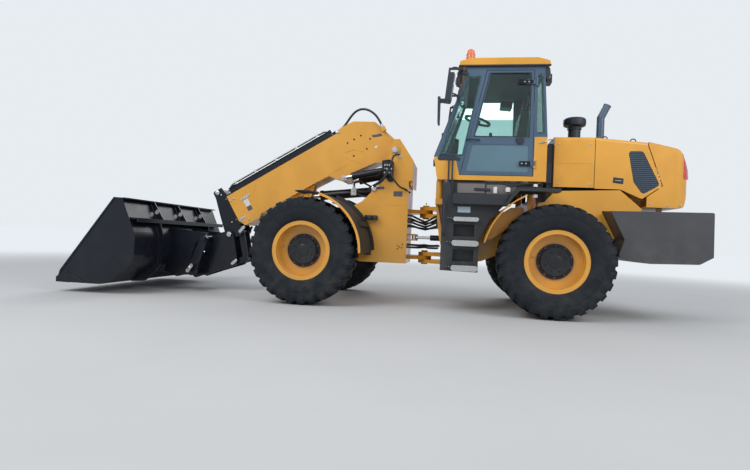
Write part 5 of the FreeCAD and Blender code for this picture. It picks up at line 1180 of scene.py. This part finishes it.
hood_spots = ((-1600, 1640), (-1600, 2140), (-1980, 1640), (-1980, 2140), (-2700, 1420), (-2900, 1405),
    (-3040, 1410))
rear.fasteners("hood_bolts", HOOD_SIDE, hood_spots)
rear.pipes("hood_beads", YELLOW, [[(-1575, HOOD_SIDE, 1900), (-2005, HOOD_SIDE, 1900)]], 3, both=True)
rear.plates("hood_rubber", RUBBER, [(
        rect(-2034, -2028, 1600, 2190), HOOD_SIDE - 8, HOOD_SIDE,
        )], both=True, soften=0.5)
rear.rounds("tank_cap", PLASTIC, [((-1760, 380, 2228), [(0, 46), (26, 46), (34, 38)])], along=UP)
rear.plates("bulkhead_hose_box", PLASTIC, [(rect(-1532, -1450, 1640, 1900), 545, 575)], soften=6)

# Beacon: its foot and the rings of its lens.
rear.rounds("beacon_base", PLASTIC, [(
        (-470, 300, 3165),
        [(0, 78), (8, 78), (14, 72), (24, 70), (30, 66)],
        )], along=UP)
rear.rounds("beacon_rings", AMBER, [
        ((-470, 300, z), [(-3, 62), (0, 66), (3, 62)])
        for z in (3215, 3255, 3295, 3335, 3375)
    ], along=UP)

# Wheels: nuts, hub bolts and caps, valves, lock rings. Distances are from the middle of the tyre.
NUT_CIRCLE, PLUG_CIRCLE = 188, 118
LOCK_RING = (319, 165), (329, 165), (333, 171), (329, 177), (319, 177)
for tag, fore, side in WHEELS:
    body = "wheel_" + tag

    def on_wheel(x, y, z):
        """A place on this wheel, from its centre, y outwards."""
        return at(AXLE_X * fore + x, side * (HALF_TRACK + y), AXLE_Z + z)

    wheel = Fitter(body, on_wheel)
    nuts = [(NUT_CIRCLE * math.cos(a), NUT_CIRCLE * math.sin(a)) for a in angles(10, 0.5)]
    wheel.fasteners("wheel_nuts_" + tag, 43.5, nuts, 1.25, BOLT, CAST, side)
    plugs = [(PLUG_CIRCLE * math.cos(a), PLUG_CIRCLE * math.sin(a)) for a in angles(8, 0.5)]
    wheel.fasteners("hub_bolts_" + tag, 85, plugs, 0.9, BOLT, BLACK, side)
    cap = Shape()
    cap.turned(on_wheel(0, 84, 0), (0, side, 0), [(-2, 82), (6, 80), (10, 70), (12, 30)], 8)
    cap.turned(on_wheel(20, 84, 160), (0, side, 0), [(-60, 7), (-20, 7), (-20, 4), (-6, 4)], 8)
    cap.done("hub_cap_" + tag, body, HUB, smooth=25)
    stem = Shape()
    stem.bent([on_wheel(262, 20, 40), on_wheel(268, 60, 42), on_wheel(240, 84, 38)], 5)
    stem.done("valve_" + tag, body, ZINC)
    ring = Shape()
    rings = [[on_wheel(r * math.cos(a), y, r * math.sin(a)) for r, y in LOCK_RING] for a in angles(64)]
    ring.skin(rings + rings[:1], False)
    bmesh.ops.remove_doubles(ring.mesh, verts=ring.mesh.verts, dist=1e-6)
    ring.done("lock_ring_" + tag, body, YELLOW, smooth=50)

# Bucket: worn edge, corner guards, welded seams, side frames.
tool.plates("bucket_wear", WORN, [([
        (1700, -712), (1885, -709), (1886, -683), (1700, -662),
        ], -BUCKET_SIDE - 2, BUCKET_SIDE + 2)], soften=2)
tool.plates("bucket_corner_guards", BLACK, [([
        (1500, -708), (1884, -708), (1884, -640), (1760, -560), (1480, -690),
        ], BUCKET_SIDE - 1, BUCKET_SIDE + 12)], both=True, soften=2)
gusset_seams = [[(886, y, 172), (980, y, 398)] for y in (-633, -617, -8, 8, 617, 633)]
shelf_seams = [[(884, y, 169), (884, y + 1200, 169)] for y in (-1225, 25)]
rib_seams = [[(876, y, 148), (794, y, -40), (789, y, -220), (798, y, -430)] for y in (-711, -689, 689, 711)]
tool.pipes("bucket_seams", BLACK, gusset_seams + shelf_seams + rib_seams, 5)
tool.plates("bucket_side_frame", BLACK, [([
        (1004, 419), (1110, 424), (1836, -550), (1880, -700), (1850, -700), (1806, -556), (1100, 400),
        (1008, 396),
        ], BUCKET_SIDE - 1, BUCKET_SIDE + 8)], both=True, soften=1.5)

# The free hose that loops from the tray to the boom's root.
HOSE_POINTS = (
    (632, 60, 712), (532, 66, 716), (430, 84, 752), (330, 122, 792), (228, 172, 808), (130, 214, 778),
    (52, 232, 700), (8, 236, 596), (0, 236, 490), (4, 236, 400),
)
HOSE_LENGTH, HOSE_DIAMETER = 0.963, 0.032


def free_hose():
    """The hose as a round cord through its points, along the boom's own axes."""
    line = bpy.data.curves.new("boom_loop", "CURVE")
    line.dimensions = "3D"
    spline = line.splines.new("NURBS")
    spline.points.add(len(HOSE_POINTS) - 1)
    for point, place in zip(spline.points, HOSE_POINTS):
        point.co = (*on_boom(*place), 1.0)
    spline.order_u = 3
    spline.use_endpoint_u = True
    spline.resolution_u = 8
    line.bevel_depth = HOSE_DIAMETER / 2
    line.bevel_resolution = 4
    line.use_fill_caps = True
    line.materials.append(HOSE)
    hose = bpy.data.objects.new("boom_loop", line)
    bpy.context.scene.collection.objects.link(hose)
    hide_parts("boom_hose")
    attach(hose, "boom")


free_hose()
boom.rounds("hose_ferrules", ZINC, [(
        (632, 60, 712), [(-6, 22), (46, 22), (50, 19)],
        )], along=(-0.863, 0, 0.505))
boom.rounds("hose_ferrules_low", ZINC, [(
        (4, 236, 398), [(-4, 22), (44, 22), (48, 19)],
        )], along=(0.505, 0, 0.863))
